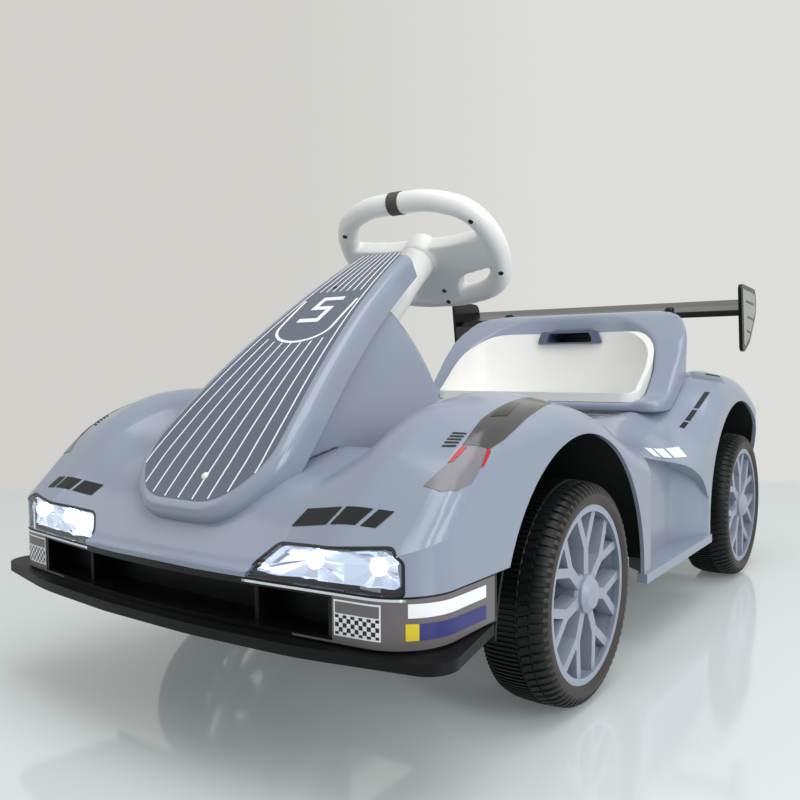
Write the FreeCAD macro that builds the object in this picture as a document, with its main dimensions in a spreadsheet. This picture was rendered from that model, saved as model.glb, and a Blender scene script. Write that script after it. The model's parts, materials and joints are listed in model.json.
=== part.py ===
"""Child's electric go-kart: a moulded plastic body on a black chassis, four plastic wheels, a steering
wheel on a sloping column, a wrap-around seat and a rear wing.

Frame: millimetres, +Z up, the kart faces -Y and its left side is +X. The origin is on the floor, midway
along the kart's length and on its centre plane.
"""
import FreeCAD, Part
import math
import os
import re
import Sketcher

os.makedirs("parts", exist_ok=True)
Vector = FreeCAD.Vector
doc = FreeCAD.newDocument("GoKart")

# Driving dimensions: alias, value in millimetres or degrees, what it sets
SIZES = [
    ("overall_length", 1020, "front lip to rear fender tail"),
    ("front_overhang", 290, "front lip to front axle"),
    ("wheelbase", 544, "front axle to rear axle"),
    ("tyre_radius", 100, "outside of the tread"),
    ("tyre_width", 64, "across the tread"),
    ("tyre_shoulder", 8, "chamfer of the tread's edge"),
    ("wheel_face_x", 245, "outer face of the tyres from the centre plane"),
    ("rim_radius", 79, "tyre bead, outside of the rim"),
    ("rim_lip", 6, "radial width of the rim's outer lip"),
    ("rim_wall", 4, "barrel wall"),
    ("rim_inset", 3, "rim face behind the tyre's outer face"),
    ("spoke_count", 7, "forked spokes of one wheel"),
    ("spoke_depth", 16, "thickness of a spoke along the axle"),
    ("hub_radius", 19, "wheel hub"),
    ("axle_radius", 5, "steel axle rod"),
    ("axle_fit", 0.05, "radial running clearance of a wheel on its axle"),
    ("cap_radius", 17, "hub cap"),
    ("cap_height", 9, "crown of the hub cap"),
    ("arch_radius", 147, "rear wheel arch, about the axle"),
    ("front_arch_radius", 153, "front wheel arch"),
    ("front_arch_drop", 11, "centre of the front arch below the axle"),
    ("body_half_width", 238, "side of the body"),
    ("skin", 4, "wall of the moulded shells"),
    ("sill_bottom", 74, "underside of the sills"),
    ("nose_height", 154, "edge of the bonnet over the grille"),
    ("bumper_bottom", 117, "lower edge of the front bumper"),
    ("lip_thickness", 8, "front splitter plate"),
    ("lip_reach", 12, "splitter ahead of the bumper"),
    ("grille_half_width", 168, "opening in the front bumper"),
    ("grille_bottom", 121, "lower edge of the opening"),
    ("grille_top", 149, "upper edge of the opening"),
    ("cockpit_half_width", 124, "footwell opening"),
    ("cockpit_front", -350, "front of the footwell opening, ahead of the front axle"),
    ("cockpit_back", 112, "back of the footwell opening, front of the seat base"),
    ("floor_height", 74, "top of the footwell floor"),
    ("step_height", 128, "top of the raised floor over the front axle"),
    ("step_back", -140, "back of the raised floor"),
    ("wheel_tilt", 45, "steering wheel from the upright, degrees"),
    ("wheel_hub_y", -122, "centre of the steering wheel"),
    ("wheel_hub_z", 431, "centre of the steering wheel"),
    ("grip_radius", 12, "tube of the steering wheel"),
    ("grip_half_width", 95, "centre of the tube, sideways"),
    ("grip_half_height", 67, "centre of the tube, in the wheel's plane"),
    ("column_radius", 17, "white sleeve of the column"),
    ("column_length", 100, "white sleeve of the column"),
    ("rod_length", 364, "steering rod from the wheel's hub to its crank"),
    ("shaft_radius", 5, "steel steering rod"),
    ("kingpin_x", 158, "steering axis of a front wheel"),
    ("kingpin_radius", 5, "kingpin"),
    ("steer_arm", 46, "kingpin to tie rod eye"),
    ("crank_reach", 30, "steering rod to its crank pin"),
    ("seat_half_width", 188, "seat shell at the arms"),
    ("seat_back_y", 322, "outside of the backrest at its top"),
    ("seat_top", 382, "top of the backrest"),
    ("seat_base", 238, "top of the seat base"),
    ("seat_wall", 34, "double wall of the seat shell"),
    ("pad_wall", 6, "white seat liner"),
    ("wing_half_width", 234, "inside of the end plates"),
    ("wing_y", 334, "front of the wing blade"),
    ("wing_chord", 74, "wing blade, front to back"),
    ("wing_height", 367, "underside of the wing blade at its front"),
    ("wing_rise", 24, "rear edge of the blade above its front"),
    ("wing_thickness", 9, "wing blade"),
    ("plate_thickness", 5, "wing end plate"),
    ("strut_x", 128, "wing struts"),
    ("strut_thickness", 8, "wing strut"),
    ("strut_width", 34, "wing strut, front to back"),
    ("pan_bottom", 56, "underside of the chassis"),
    ("rail_top", 190, "chassis rails beside the battery"),
    ("rail_wall", 8, "chassis rail"),
    ("battery_length", 90, "front to back"),
    ("battery_width", 140, "side to side"),
    ("battery_height", 90, "floor to lid"),
    ("gearbox_width", 36, "along the axle"),
    ("gearbox_length", 84, "front to back"),
    ("gearbox_height", 56, "motor housing"),
    ("clearance", 0.3, "between pieces that meet"),
]
sheet = doc.addObject("Spreadsheet::Sheet", "Sizes")
for row, (alias, number, note) in enumerate(SIZES, 1):
    sheet.set(f"A{row}", alias)
    sheet.set(f"B{row}", str(number))
    sheet.set(f"C{row}", note)
    sheet.setAlias(f"B{row}", alias)
doc.recompute()
NAMES = {alias for alias, _, _ in SIZES}
size = {alias: float(getattr(sheet, alias)) for alias in NAMES}


probe = doc.addObject("App::FeaturePython", "Probe")
probe.addProperty("App::PropertyFloat", "Answer")


def number(text):
    """The value of an expression written with the sheet's aliases."""
    probe.setExpression("Answer", bound(text))
    probe.recompute()
    return probe.Answer


def bound(text):
    """The same expression, pointing at the sheet's cells."""
    return re.sub(r"[a-z_]{3,}", lambda m: "Sizes." + m.group(0) if m.group(0) in NAMES else m.group(0), str(text))


# Places worked out from the driving dimensions
FRONT_AXLE_Y = -size["overall_length"] / 2 + size["front_overhang"]
REAR_AXLE_Y = FRONT_AXLE_Y + size["wheelbase"]
NOSE_Y = -size["overall_length"] / 2 + size["lip_reach"]
TAIL_Y = size["overall_length"] / 2
AXLE_Z = size["tyre_radius"]
WHEEL_CENTRE_X = size["wheel_face_x"] - size["tyre_width"] / 2
SKIN = size["skin"]
LINER_WALL_X = 130
LINER_WALL = 3
made = []


def keep(obj, label):
    """Marks a document object as one sub-part, whose label names its file."""
    obj.Label = label
    made.append(obj)
    return obj


def part(label, shape, placement=None):
    """A sub-part whose shape is worked out in code."""
    obj = doc.addObject("Part::Feature", label)
    obj.Shape = shape
    if placement is not None:
        obj.Placement = placement
    return keep(obj, label)


def box(name, length, width, height, x, y, z):
    """A Part::Box bound to the sheet; x, y and z are its lowest corner."""
    obj = doc.addObject("Part::Box", name)
    for prop, text in (("Length", length), ("Width", width), ("Height", height)):
        obj.setExpression(prop, bound(text))
    for axis, text in zip("xyz", (x, y, z)):
        obj.setExpression(f"Placement.Base.{axis}", bound(text))
    return obj


def rod(name, radius, length, start, direction):
    """A Part::Cylinder of bound radius and length, from start along direction."""
    obj = doc.addObject("Part::Cylinder", name)
    obj.setExpression("Radius", bound(radius))
    obj.setExpression("Height", bound(length))
    obj.Placement = FreeCAD.Placement(Vector(*start), FreeCAD.Rotation(Vector(0, 0, 1), Vector(*direction)))
    return obj


def cut(name, base, *tools):
    for i, tool in enumerate(tools):
        obj = doc.addObject("Part::Cut", f"{name}_cut{i}")
        obj.Base, obj.Tool = base, tool
        base = obj
    return base


def fuse(name, *pieces):
    obj = doc.addObject("Part::MultiFuse", name)
    obj.Shapes = list(pieces)
    obj.Refine = True
    return obj


def origin_plane(body, role):
    return next(f for f in body.Origin.OriginFeatures if f.Role == role)


def sketch(body, name, role, points):
    """A closed polygon whose corners are bound to the sheet, on one of the body's origin planes."""
    sk = body.newObject("Sketcher::SketchObject", name)
    sk.AttachmentSupport = [(origin_plane(body, role), "")]
    sk.MapMode = "FlatFace"
    corners = [Vector(number(a), number(b), 0) for a, b in points]
    count = len(corners)
    for i in range(count):
        sk.addGeometry(Part.LineSegment(corners[i], corners[(i + 1) % count]), False)
    for i in range(count):
        sk.addConstraint(Sketcher.Constraint("Coincident", i, 2, (i + 1) % count, 1))
    for i, (across, up) in enumerate(points):
        for kind, text, place in (("DistanceX", across, corners[i].x), ("DistanceY", up, corners[i].y)):
            index = sk.addConstraint(Sketcher.Constraint(kind, -1, 1, i, 1, place))
            sk.setExpression(f"Constraints[{index}]", bound(text))
    return sk


def revolve(body, name, points, kind="PartDesign::Revolution"):
    """Turns a polygon of (along the axle, radius) about the body's X axis."""
    sk = sketch(body, name + "_profile", "XY_Plane", points)
    doc.recompute()
    feature = body.newObject(kind, name)
    feature.Profile = sk
    feature.ReferenceAxis = (sk, ["H_Axis"])
    feature.Angle = 360
    return feature


def rounded(points):
    """Edges of a polyline of (x, y, z, corner radius), open, each corner turned into a tangent arc."""
    places = [Vector(*p[:3]) for p in points]
    edges = []
    start = places[0]
    for i in range(1, len(places) - 1):
        corner = places[i]
        if points[i][3] == 0:
            edges.append(Part.LineSegment(start, corner).toShape())
            start = corner
            continue
        back, ahead = places[i - 1] - corner, places[i + 1] - corner
        turn = math.pi - back.getAngle(ahead)
        reach = min(points[i][3] * math.tan(turn / 2), 0.47 * back.Length, 0.47 * ahead.Length)
        back.normalize()
        ahead.normalize()
        first, last = corner + back * reach, corner + ahead * reach
        radius = reach / math.tan(turn / 2)
        inward = (back + ahead).normalize()
        middle = corner + inward * (radius / math.cos(turn / 2) - radius)
        edges.append(Part.LineSegment(start, first).toShape())
        edges.append(Part.Arc(first, middle, last).toShape())
        start = last
    edges.append(Part.LineSegment(start, places[-1]).toShape())
    return edges


def closed(points):
    """A closed wire of rounded corners; it starts at the middle of its last side."""
    a, b = Vector(*points[-1][:3]), Vector(*points[0][:3])
    middle = (a + b) * 0.5
    seam = (middle.x, middle.y, middle.z, 0)
    return Part.Wire(rounded([seam] + list(points) + [seam]))


def prism(points, direction):
    """A closed outline of rounded corners, extruded."""
    return Part.Face(closed(points)).extrude(Vector(*direction))


def slab(x0, x1, y0, y1, z0, z1):
    return Part.makeBox(x1 - x0, y1 - y0, z1 - z0, Vector(x0, y0, z0))


def drum(radius, x0, x1, y, z):
    return Part.makeCylinder(radius, x1 - x0, Vector(x0, y, z), Vector(1, 0, 0))


def mirrored(shape):
    return shape.mirror(Vector(0, 0, 0), Vector(1, 0, 0))


# Body sections from nose to tail. Each is measured from an anchor: anchor, offset along Y, deck height,
# inner foot of the fender, inner shoulder, crown height, height at the outer side
BODY_SECTIONS = [
    (NOSE_Y, 0, 158, 112, 165, 162, 156),
    (NOSE_Y, 26, 180, 114, 168, 192, 180),
    (NOSE_Y, 58, 212, 116, 170, 225, 209),
    (NOSE_Y, 85, 221, 117, 168, 251, 233),
    (FRONT_AXLE_Y, -140, 231, 118, 166, 279, 258),
    (FRONT_AXLE_Y, -70, 241, 118, 164, 284, 266),
    (FRONT_AXLE_Y, 10, 248, 118, 162, 277, 260),
    (FRONT_AXLE_Y, 80, 244, 120, 158, 260, 238),
    (FRONT_AXLE_Y, 150, 238, 126, 152, 241, 208),
    (FRONT_AXLE_Y, 220, 236, 130, 150, 237, 188),
    (REAR_AXLE_Y, -220, 236, 132, 152, 238, 184),
    (REAR_AXLE_Y, -140, 236, 136, 158, 258, 216),
    (REAR_AXLE_Y, -70, 236, 138, 162, 290, 268),
    (REAR_AXLE_Y, 10, 232, 138, 164, 294, 274),
    (REAR_AXLE_Y, 80, 224, 136, 162, 270, 252),
    (REAR_AXLE_Y, 140, 208, 132, 160, 234, 216),
    (TAIL_Y, 0, 176, 126, 160, 184, 170),
]
FOOT_RADIUS, SHOULDER_RADIUS, SIDE_RADIUS = 30, 40, 26
NOSE_CORNER, TAIL_CORNER = 46, 100


def body_loft(wall, bottom):
    """The body's outer form, shrunk by wall on every side but the bottom."""
    wires = []
    last = len(BODY_SECTIONS) - 1
    for i, (anchor, offset, deck, foot, inner, crown, side) in enumerate(BODY_SECTIONS):
        y = anchor + offset + (wall if i == 0 else -wall if i == last else 0)
        x = size["body_half_width"] - wall
        half = [
            (foot, y, deck - wall, FOOT_RADIUS),
            (inner, y, crown - wall, SHOULDER_RADIUS),
            (x, y, side - wall, SIDE_RADIUS),
            (x, y, bottom, 0.5),
        ]
        other = [(-p[0],) + p[1:] for p in reversed(half)]
        wires.append(closed(half + other))
    return Part.makeLoft(wires, True, False)


def plan_outline(inset):
    """The body seen from above: a bowed nose and rounded corners."""
    x = size["body_half_width"] - inset
    nose, tail = NOSE_Y + inset, TAIL_Y - inset
    bow = 20
    return [
        (x, nose + bow, 0, NOSE_CORNER),
        (0, nose - bow * 0.35, 0, 900),
        (-x, nose + bow, 0, NOSE_CORNER),
        (-x, tail, 0, TAIL_CORNER),
        (x, tail, 0, TAIL_CORNER),
    ]


# Side scoop behind each front wheel: depth, and its outline along the body
SCOOP_DEPTH = 28
SCOOP_FRONT, SCOOP_DEEP_BACK, SCOOP_BACK = FRONT_AXLE_Y + 172, REAR_AXLE_Y - 215, REAR_AXLE_Y - 150
SCOOP_SILL = 84


def scoop_tool(wall):
    """What the scoop takes out of the left side; a wall thicker makes room for the body's skin."""
    x = size["body_half_width"]
    plan = prism([
        (x + 40, SCOOP_FRONT - wall, 0, 0), (x - 4, SCOOP_FRONT - wall, 0, 6),
        (x - SCOOP_DEPTH - wall, SCOOP_FRONT + 22 - wall, 0, 14),
        (x - SCOOP_DEPTH - wall, SCOOP_DEEP_BACK + wall, 0, 40), (x - 1 - wall, SCOOP_BACK + wall, 0, 20),
        (x + 40, SCOOP_BACK + wall, 0, 0)], (0, 0, 400))
    side = prism([
        (0, SCOOP_FRONT - 80, SCOOP_SILL - wall, 0), (0, SCOOP_BACK + 40, SCOOP_SILL - wall, 0),
        (0, SCOOP_BACK + 4, 120, 0), (0, SCOOP_BACK - 30, 158 + wall, 60), (0, SCOOP_BACK - 90, 182 + wall, 200),
        (0, SCOOP_FRONT - 80, 218 + wall, 0)], (400, 0, 0))
    return plan.common(side)


def body_form(wall, bottom):
    plan = prism(plan_outline(wall), (0, 0, 600))
    scoop = scoop_tool(wall)
    return body_loft(wall, bottom).common(plan).cut([scoop, mirrored(scoop)])


# Wheel arches: end of the kart, axle, radius, height of the arch's centre
ARCHES = [
    ("front", FRONT_AXLE_Y, size["front_arch_radius"], AXLE_Z - size["front_arch_drop"]),
    ("rear", REAR_AXLE_Y, size["arch_radius"], AXLE_Z),
]


def wheel_well(y, radius, centre_z, inner, outer):
    """The room of one wheel: a drum about the arch's centre, open downwards."""
    return drum(radius, inner, outer, y, centre_z).fuse(slab(inner, outer, y - radius, y + radius, 0, centre_z))


def wheel_wells():
    """What the four arches take out of the body's sides."""
    inner, outer = size["body_half_width"] - 34, size["body_half_width"] + 40
    left = [wheel_well(y, radius, z, inner, outer) for _, y, radius, z in ARCHES]
    return left + [mirrored(well) for well in left]


# Headlamp outline seen from the front
LAMP_OUTLINE = [(95, 148, 3), (98, 163, 8), (112, 177, 14), (212, 185, 9), (221, 177, 7), (221, 148, 3)]
LAMP_MIDDLE_X = 164
LAMP_DEPTH = 31
nose_mid = size["nose_height"] + 2
BUMPER_SEAM_BACK = 152


def lamp_prism(grow):
    """The lamp's outline, grown or shrunk, carried back into the nose."""
    outline = [(x + (grow if x > LAMP_MIDDLE_X else -grow), NOSE_Y - 30, z + (grow if z > nose_mid else 0), r)
               for x, z, r in LAMP_OUTLINE]
    return prism(outline, (0, LAMP_DEPTH + 30 + min(grow, 0), 0))


def seam_tool(grow):
    """Everything under the seam between body and front bumper, ahead of the front wheels."""
    back = FRONT_AXLE_Y - size["front_arch_radius"] + 44
    wide = size["body_half_width"] + 50
    front = NOSE_Y - 40
    corner = NOSE_Y + 30
    top = size["nose_height"] + grow
    side = [(-wide, front, 0), (-wide, front, top), (-wide, corner, top),
            (-wide, back, BUMPER_SEAM_BACK + grow), (-wide, back, 0)]
    return Part.Face(Part.makePolygon([Vector(*p) for p in side + side[:1]])).extrude(Vector(2 * wide, 0, 0))


outer_form = body_form(0, size["sill_bottom"])
inner_form = body_form(SKIN, size["sill_bottom"] - 20)
skin_form = outer_form.cut(inner_form)
wells = wheel_wells()


def cockpit_prism(half, z0, z1, corner=24):
    """The footwell opening seen from above, between two heights."""
    inset = size["cockpit_half_width"] - half
    front, back = size["cockpit_front"] + inset, size["cockpit_back"] - inset
    return prism([(half, front, z0, corner - inset), (half, back, z0, corner - inset),
                  (-half, back, z0, corner - inset), (-half, front, z0, corner - inset)], (0, 0, z1 - z0))


cockpit = cockpit_prism(size["cockpit_half_width"], 130, 420)
lamps = [lamp_prism(0), mirrored(lamp_prism(0))]
# The deck is open under the cowl and pedestal, where the steering rod comes down
rod_opening = slab(-54, 54, NOSE_Y + 62, FRONT_AXLE_Y + 50, 80, 300)
sill = slab(-size["body_half_width"] - 3, size["body_half_width"] + 3, FRONT_AXLE_Y + 128, REAR_AXLE_Y - 150,
            size["sill_bottom"], SCOOP_SILL)
sill = sill.cut(slab(-size["body_half_width"] + 8, size["body_half_width"] - 8, -500, 500, 0, 200))
shell = skin_form.fuse(sill).cut([*wells, cockpit, *lamps, seam_tool(0), rod_opening])
part("body_shell", max(shell.Solids, key=lambda s: s.Volume))

# Headlamps: a clear cover in line with the body's skin, and a bright reflector bowl behind it
lamp_cover = skin_form.common(lamp_prism(-0.5)).cut(seam_tool(0.3))
reflector = body_form(SKIN + 0.3, 40).common(lamp_prism(-2)).cut(seam_tool(3))
reflector = reflector.cut(slab(0, 300, NOSE_Y + 44, 0, 0, 400))
for side, turn in (("left", lambda s: s), ("right", mirrored)):
    part(f"headlamp_cover_{side}", turn(lamp_cover))
    part(f"headlamp_reflector_{side}", turn(reflector))

# Front bumper: a wall along the nose with the grille opening
bumper_wall = 5
bumper_back = FRONT_AXLE_Y - size["front_arch_radius"] - 6
band = prism(plan_outline(0.3), (0, 0, 170)).cut(prism(plan_outline(0.3 + bumper_wall), (0, 0, 200)))
band = band.common(seam_tool(-0.3)).cut(slab(-400, 400, -600, 600, -1, size["bumper_bottom"]))
band = band.cut(slab(-400, 400, bumper_back, 600, -1, 400))
opening = slab(-size["grille_half_width"], size["grille_half_width"], NOSE_Y - 60, NOSE_Y + 60,
               size["grille_bottom"], size["grille_top"])
part("front_bumper", band.cut(opening))

# Grille: a black tray behind the opening with two upright ribs
grille_back = 34
tray = prism(plan_outline(0.6 + bumper_wall), (0, 0, 160)).common(
    slab(-size["grille_half_width"] - 8, size["grille_half_width"] + 8, NOSE_Y - 40, NOSE_Y + grille_back + 3,
         size["grille_bottom"] - 3, size["nose_height"] - 1))
hollow = slab(-size["grille_half_width"] - 5, size["grille_half_width"] + 5, NOSE_Y - 60, NOSE_Y + grille_back,
              size["grille_bottom"], size["grille_top"] + 2)
for x in (-100, 100):
    hollow = hollow.cut(slab(x - 2, x + 2, NOSE_Y + 12, NOSE_Y + grille_back, 0, 300))
part("grille_tray", tray.cut(hollow))

# Splitter: a flat lip under the bumper, wider than the body
lip_half = size["body_half_width"] + 20
lip_back = bumper_back - 2
lip_nose = -size["overall_length"] / 2
lip_edge = [(lip_half, lip_nose + 32, 0, 22), (150, lip_nose + 8, 0, 300), (50, lip_nose, 0, 300)]
lip = prism(lip_edge + [(-x, y, z, r) for x, y, z, r in reversed(lip_edge)] + [
    (-size["body_half_width"], lip_back, 0, 6), (size["body_half_width"], lip_back, 0, 6)],
    (0, 0, size["lip_thickness"]))
lip.translate(Vector(0, 0, size["bumper_bottom"] - size["lip_thickness"] - 0.3))
part("front_splitter", lip)

# Nose cowl: a slab that follows the slope up to the steering column
COWL_ARC = [(-472, 201), (-354, 313), (-195, 422)]
COWL_THICKNESS = 27


def arc_through(points, x=0):
    return Part.Arc(*[Vector(x, y, z) for y, z in points])


def cowl_profile(drop, x0, x1, floor=None):
    """Everything under the cowl's top line, lowered by drop, between two planes of x."""
    circle = arc_through(COWL_ARC, x0).toShape().Curve
    centre, radius = circle.Center, circle.Radius - drop
    points = []
    for y, z in COWL_ARC:
        out = (Vector(x0, y, z) - centre).normalize()
        points.append(centre + out * radius)
    curve = Part.Arc(*points).toShape()
    low = floor if floor is not None else 100
    ends = [points[2], Vector(x0, points[2].y, low), Vector(x0, points[0].y, low), points[0]]
    wire = Part.Wire([curve] + [Part.LineSegment(a, b).toShape() for a, b in zip(ends, ends[1:])])
    return Part.Face(wire).extrude(Vector(x1 - x0, 0, 0))


# Right half of the cowl's outline seen from above, from its rear end to its tip
COWL_SIDE = [(38, -194, 0, 20), (56, -300, 0, 500), (79, -406, 0, 300), (86, -450, 0, 60), (46, -482, 0, 80)]
cowl_plan = prism(COWL_SIDE + [(-x, y, z, r) for x, y, z, r in reversed(COWL_SIDE)], (0, 0, 600))
cowl = cowl_profile(0, -120, 120).cut(cowl_profile(COWL_THICKNESS, -120, 120, 0)).common(cowl_plan)
tilt = math.radians(size["wheel_tilt"])
wheel_hub = Vector(0, size["wheel_hub_y"], size["wheel_hub_z"])
down = Vector(0, -math.sin(tilt), -math.cos(tilt))          # along the column, towards the floor
wheel_up = Vector(0, -math.cos(tilt), math.sin(tilt))       # in the wheel's plane, away from the driver
column_hole = Part.makeCylinder(size["column_radius"] + 3, 400, wheel_hub, down)
over_body = body_form(-0.3, 60)
cowl = cowl.cut(over_body).cut(column_hole)
part("nose_cowl", max(cowl.Solids, key=lambda s: s.Volume))

# Pedestal under the cowl, which houses the steering column: height, rear face, half width
PEDESTAL_SECTIONS = [(size["step_height"] + 0.3, -146, 76), (190, -149, 72), (235, -154, 66), (268, -163, 60),
                     (300, -178, 54), (328, -197, 49), (352, -220, 44), (372, -246, 40)]


def pedestal_form(wall):
    wires = []
    for i, (z, rear, half) in enumerate(PEDESTAL_SECTIONS):
        half = half - wall
        z = z - wall if i == 0 else z - wall * 0.4
        front = -440 + wall
        wires.append(closed([(half, front, z, 10), (half, rear - wall, z, 22),
                             (-half, rear - wall, z, 22), (-half, front, z, 10)]))
    return Part.makeLoft(wires, True, False)


pedestal = pedestal_form(0).common(cowl_profile(COWL_THICKNESS + 0.4, -120, 120, 0))
pedestal = pedestal.cut(pedestal_form(SKIN).common(cowl_profile(COWL_THICKNESS + SKIN, -120, 120, 0)))
cockpit_room = cockpit_prism(size["cockpit_half_width"] - size["clearance"], 0, 400)
pedestal = pedestal.cut([over_body.cut(cockpit_room), column_hole])
part("dash_pedestal", max(pedestal.Solids, key=lambda s: s.Volume))

# Footwell tub: an open tray let into the body's opening, its floor stepped up over the front axle
tub_wall = 4
tub_half = size["cockpit_half_width"] - 0.5
floor, step = size["floor_height"], size["step_height"]
tub_outer = cockpit_prism(tub_half, floor - tub_wall, 300)
under_step = slab(-200, 200, -600, size["step_back"] - tub_wall, 0, step - tub_wall)
tub_inner = cockpit_prism(tub_half - tub_wall, floor, 301).cut(slab(-200, 200, -600, size["step_back"], 0, step))
# The pedestal stands on the step, so the room cut for it reaches down to its foot
PEDESTAL_ROOM = 1.5
pedestal_room = pedestal_form(-PEDESTAL_ROOM)
pedestal_foot = pedestal_room.copy()
pedestal_foot.translate(Vector(0, 0, -PEDESTAL_ROOM - size["clearance"] / 2))
tub = tub_outer.cut([tub_inner, under_step, rod_opening, pedestal_room, pedestal_foot]).common(body_loft(0, 40))
part("footwell_tub", max(tub.Solids, key=lambda s: s.Volume))

# Seat: a wrap-around shell with a thick rounded wall, and a white liner inside it
def seat_form(inset, z0, z1, flare=0.0):
    """A horseshoe-shaped solid, open side towards the nose, between two heights."""
    wires = []
    for z, grow in ((z0, 0), (z1, flare)):
        x = size["seat_half_width"] - inset + grow
        back = size["seat_back_y"] - inset + grow
        front = 128 + inset * 0.2
        wires.append(closed([(x, front, z, 20), (x, back - 60, z, 200), (x - 70, back - 8, z, 200),
                             (0, back, z, 600), (-x + 70, back - 8, z, 200), (-x, back - 60, z, 200),
                             (-x, front, z, 20)]))
    return Part.makeLoft(wires, True, False)


base_z = size["seat_base"]
top_z = size["seat_top"]
seat_line = [(-600, 120, base_z - 1, 0), (-600, 120, base_z + 14, 12), (-600, 168, base_z + 22, 40),
             (-600, 236, 334, 60), (-600, 292, top_z - 4, 60), (-600, 420, top_z, 0)]
seat_edge = Part.Wire(rounded(seat_line) + [
    Part.LineSegment(Vector(-600, 420, top_z), Vector(-600, 420, base_z - 1)).toShape(),
    Part.LineSegment(Vector(-600, 420, base_z - 1), Vector(-600, 120, base_z - 1)).toShape()])
seat_side = Part.Face(seat_edge).extrude(Vector(1200, 0, 0))
seat_low = base_z + 1
seat_front_view = prism([
    (size["seat_half_width"] + 6, 0, base_z - 20, 0), (size["seat_half_width"] - 4, 0, top_z + 2, 62),
    (-size["seat_half_width"] + 4, 0, top_z + 2, 62), (-size["seat_half_width"] - 6, 0, base_z - 20, 0)], (0, 600, 0))
shell_solid = seat_form(0, seat_low, top_z + 20, 4).common(seat_side).common(seat_front_view)
seat_hollow = seat_form(size["seat_wall"], seat_low + 12, top_z + 40, 6)
seat_hollow = seat_hollow.fuse(slab(-size["seat_half_width"] + size["seat_wall"],
                                    size["seat_half_width"] - size["seat_wall"], 60, 160, seat_low + 12, 500))
seat = shell_solid.cut(seat_hollow)
slot = prism([(-40, 0, 333, 4), (-33, 0, 349, 6), (33, 0, 349, 6), (40, 0, 333, 4)], (0, 500, 0))
seat = seat.cut(slot).cut(over_body)
part("seat_shell", max(seat.Solids, key=lambda s: s.Volume))
liner = seat_form(size["seat_wall"] + 0.4, seat_low + 12.4, top_z + 12, 5).cut(
    seat_form(size["seat_wall"] + 0.4 + size["pad_wall"], seat_low + 12.4 + size["pad_wall"], top_z + 40, 5.5))
liner_line = [(-600, 100, base_z + 5, 0), (-600, 100, base_z + 24, 6), (-600, 150, base_z + 26, 30),
              (-600, 216, 318, 50), (-600, 262, top_z - 34, 40), (-600, 420, top_z - 32, 0)]
liner_edge = Part.Wire(rounded(liner_line) + [
    Part.LineSegment(Vector(-600, 420, top_z - 32), Vector(-600, 420, base_z + 5)).toShape(),
    Part.LineSegment(Vector(-600, 420, base_z + 5), Vector(-600, 100, base_z + 5)).toShape()])
liner_front_view = prism([
    (size["seat_half_width"] - 24, 0, base_z - 20, 0), (size["seat_half_width"] - 36, 0, top_z - 34, 50),
    (-size["seat_half_width"] + 36, 0, top_z - 34, 50), (-size["seat_half_width"] + 24, 0, base_z - 20, 0)], (0, 600, 0))
liner = liner.common(Part.Face(liner_edge).extrude(Vector(1200, 0, 0))).common(liner_front_view).cut([over_body, slot])
part("seat_liner", max(liner.Solids, key=lambda s: s.Volume))

# Rear wing: a blade that rises to the rear, two end plates and two struts from the rear deck
wing = size["wing_half_width"]
wing_front, wing_low = size["wing_y"], size["wing_height"]
wing_back, wing_high = wing_front + size["wing_chord"], wing_low + size["wing_rise"]
underside = [(wing_front, wing_low), (wing_front + 38, wing_low + 9), (wing_back, wing_high)]
upper = [(wing_back, wing_high + 5), (wing_front + 38, wing_low + 9 + size["wing_thickness"]),
         (wing_front + 3, wing_low + size["wing_thickness"])]
blade = prism([(-wing, y, z, 2) for y, z in underside + upper], (2 * wing, 0, 0))
part("wing_blade", blade)
# Corners of an end plate: along the kart, height, corner radius
PLATE_OUTLINE = [(-14, 45, 8), (70, 41, 14), (77, 9, 20), (38, -37, 20), (8, -51, 8), (-2, -47, 8)]
plate = prism([(wing + 0.2, wing_front + y, wing_low + z, r) for y, z, r in PLATE_OUTLINE],
              (size["plate_thickness"], 0, 0))
part("wing_end_plate_left", plate)
part("wing_end_plate_right", mirrored(plate))
strut_x = size["strut_x"] - size["strut_thickness"] / 2
strut_front = wing_front + 18
strut_back = strut_front + size["strut_width"]
strut = prism([(strut_x, strut_front + 2, 200, 3), (strut_x, strut_front - 2, wing_high + 20, 3),
               (strut_x, strut_back, wing_high + 20, 3), (strut_x, strut_back + 6, 200, 3)],
              (size["strut_thickness"], 0, 0))
above_blade = [(0, y, z - size["clearance"], 0) for y, z in underside] + [(0, wing_back, 600, 0), (0, wing_front, 600, 0)]
strut = strut.cut([over_body, prism(above_blade, (400, 0, 0))])
strut = max(strut.Solids, key=lambda s: s.Volume)
part("wing_strut_left", strut)
part("wing_strut_right", mirrored(strut))

# Wheel liners: black half drums inside the body, closed on their inner side
def wheel_liner(y, radius, centre_z):
    """The liner of a left arch; a front one is open where its arm and tie rod pass."""
    side = size["body_half_width"]
    outside = wheel_well(y, radius + LINER_WALL, centre_z, LINER_WALL_X - LINER_WALL, size["body_half_width"])
    inside = wheel_well(y, radius, centre_z, LINER_WALL_X, 400)
    steered = y == FRONT_AXLE_Y
    low_edge = AXLE_Z if steered else 70
    keep_box = slab(LINER_WALL_X - LINER_WALL, side, y - 200, y + 200, low_edge, 400)
    liner = outside.common(keep_box).cut(inside).common(liner_room)
    if steered:
        window = slab(0, LINER_WALL_X + 5, y - size["steer_arm"] - 24, y + 20, 60, 124)
    else:
        window = drum(size["axle_radius"] + size["clearance"], 0, 300, y, AXLE_Z)
    liner = liner.cut(window)
    return max(liner.Solids, key=lambda s: s.Volume)


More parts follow.
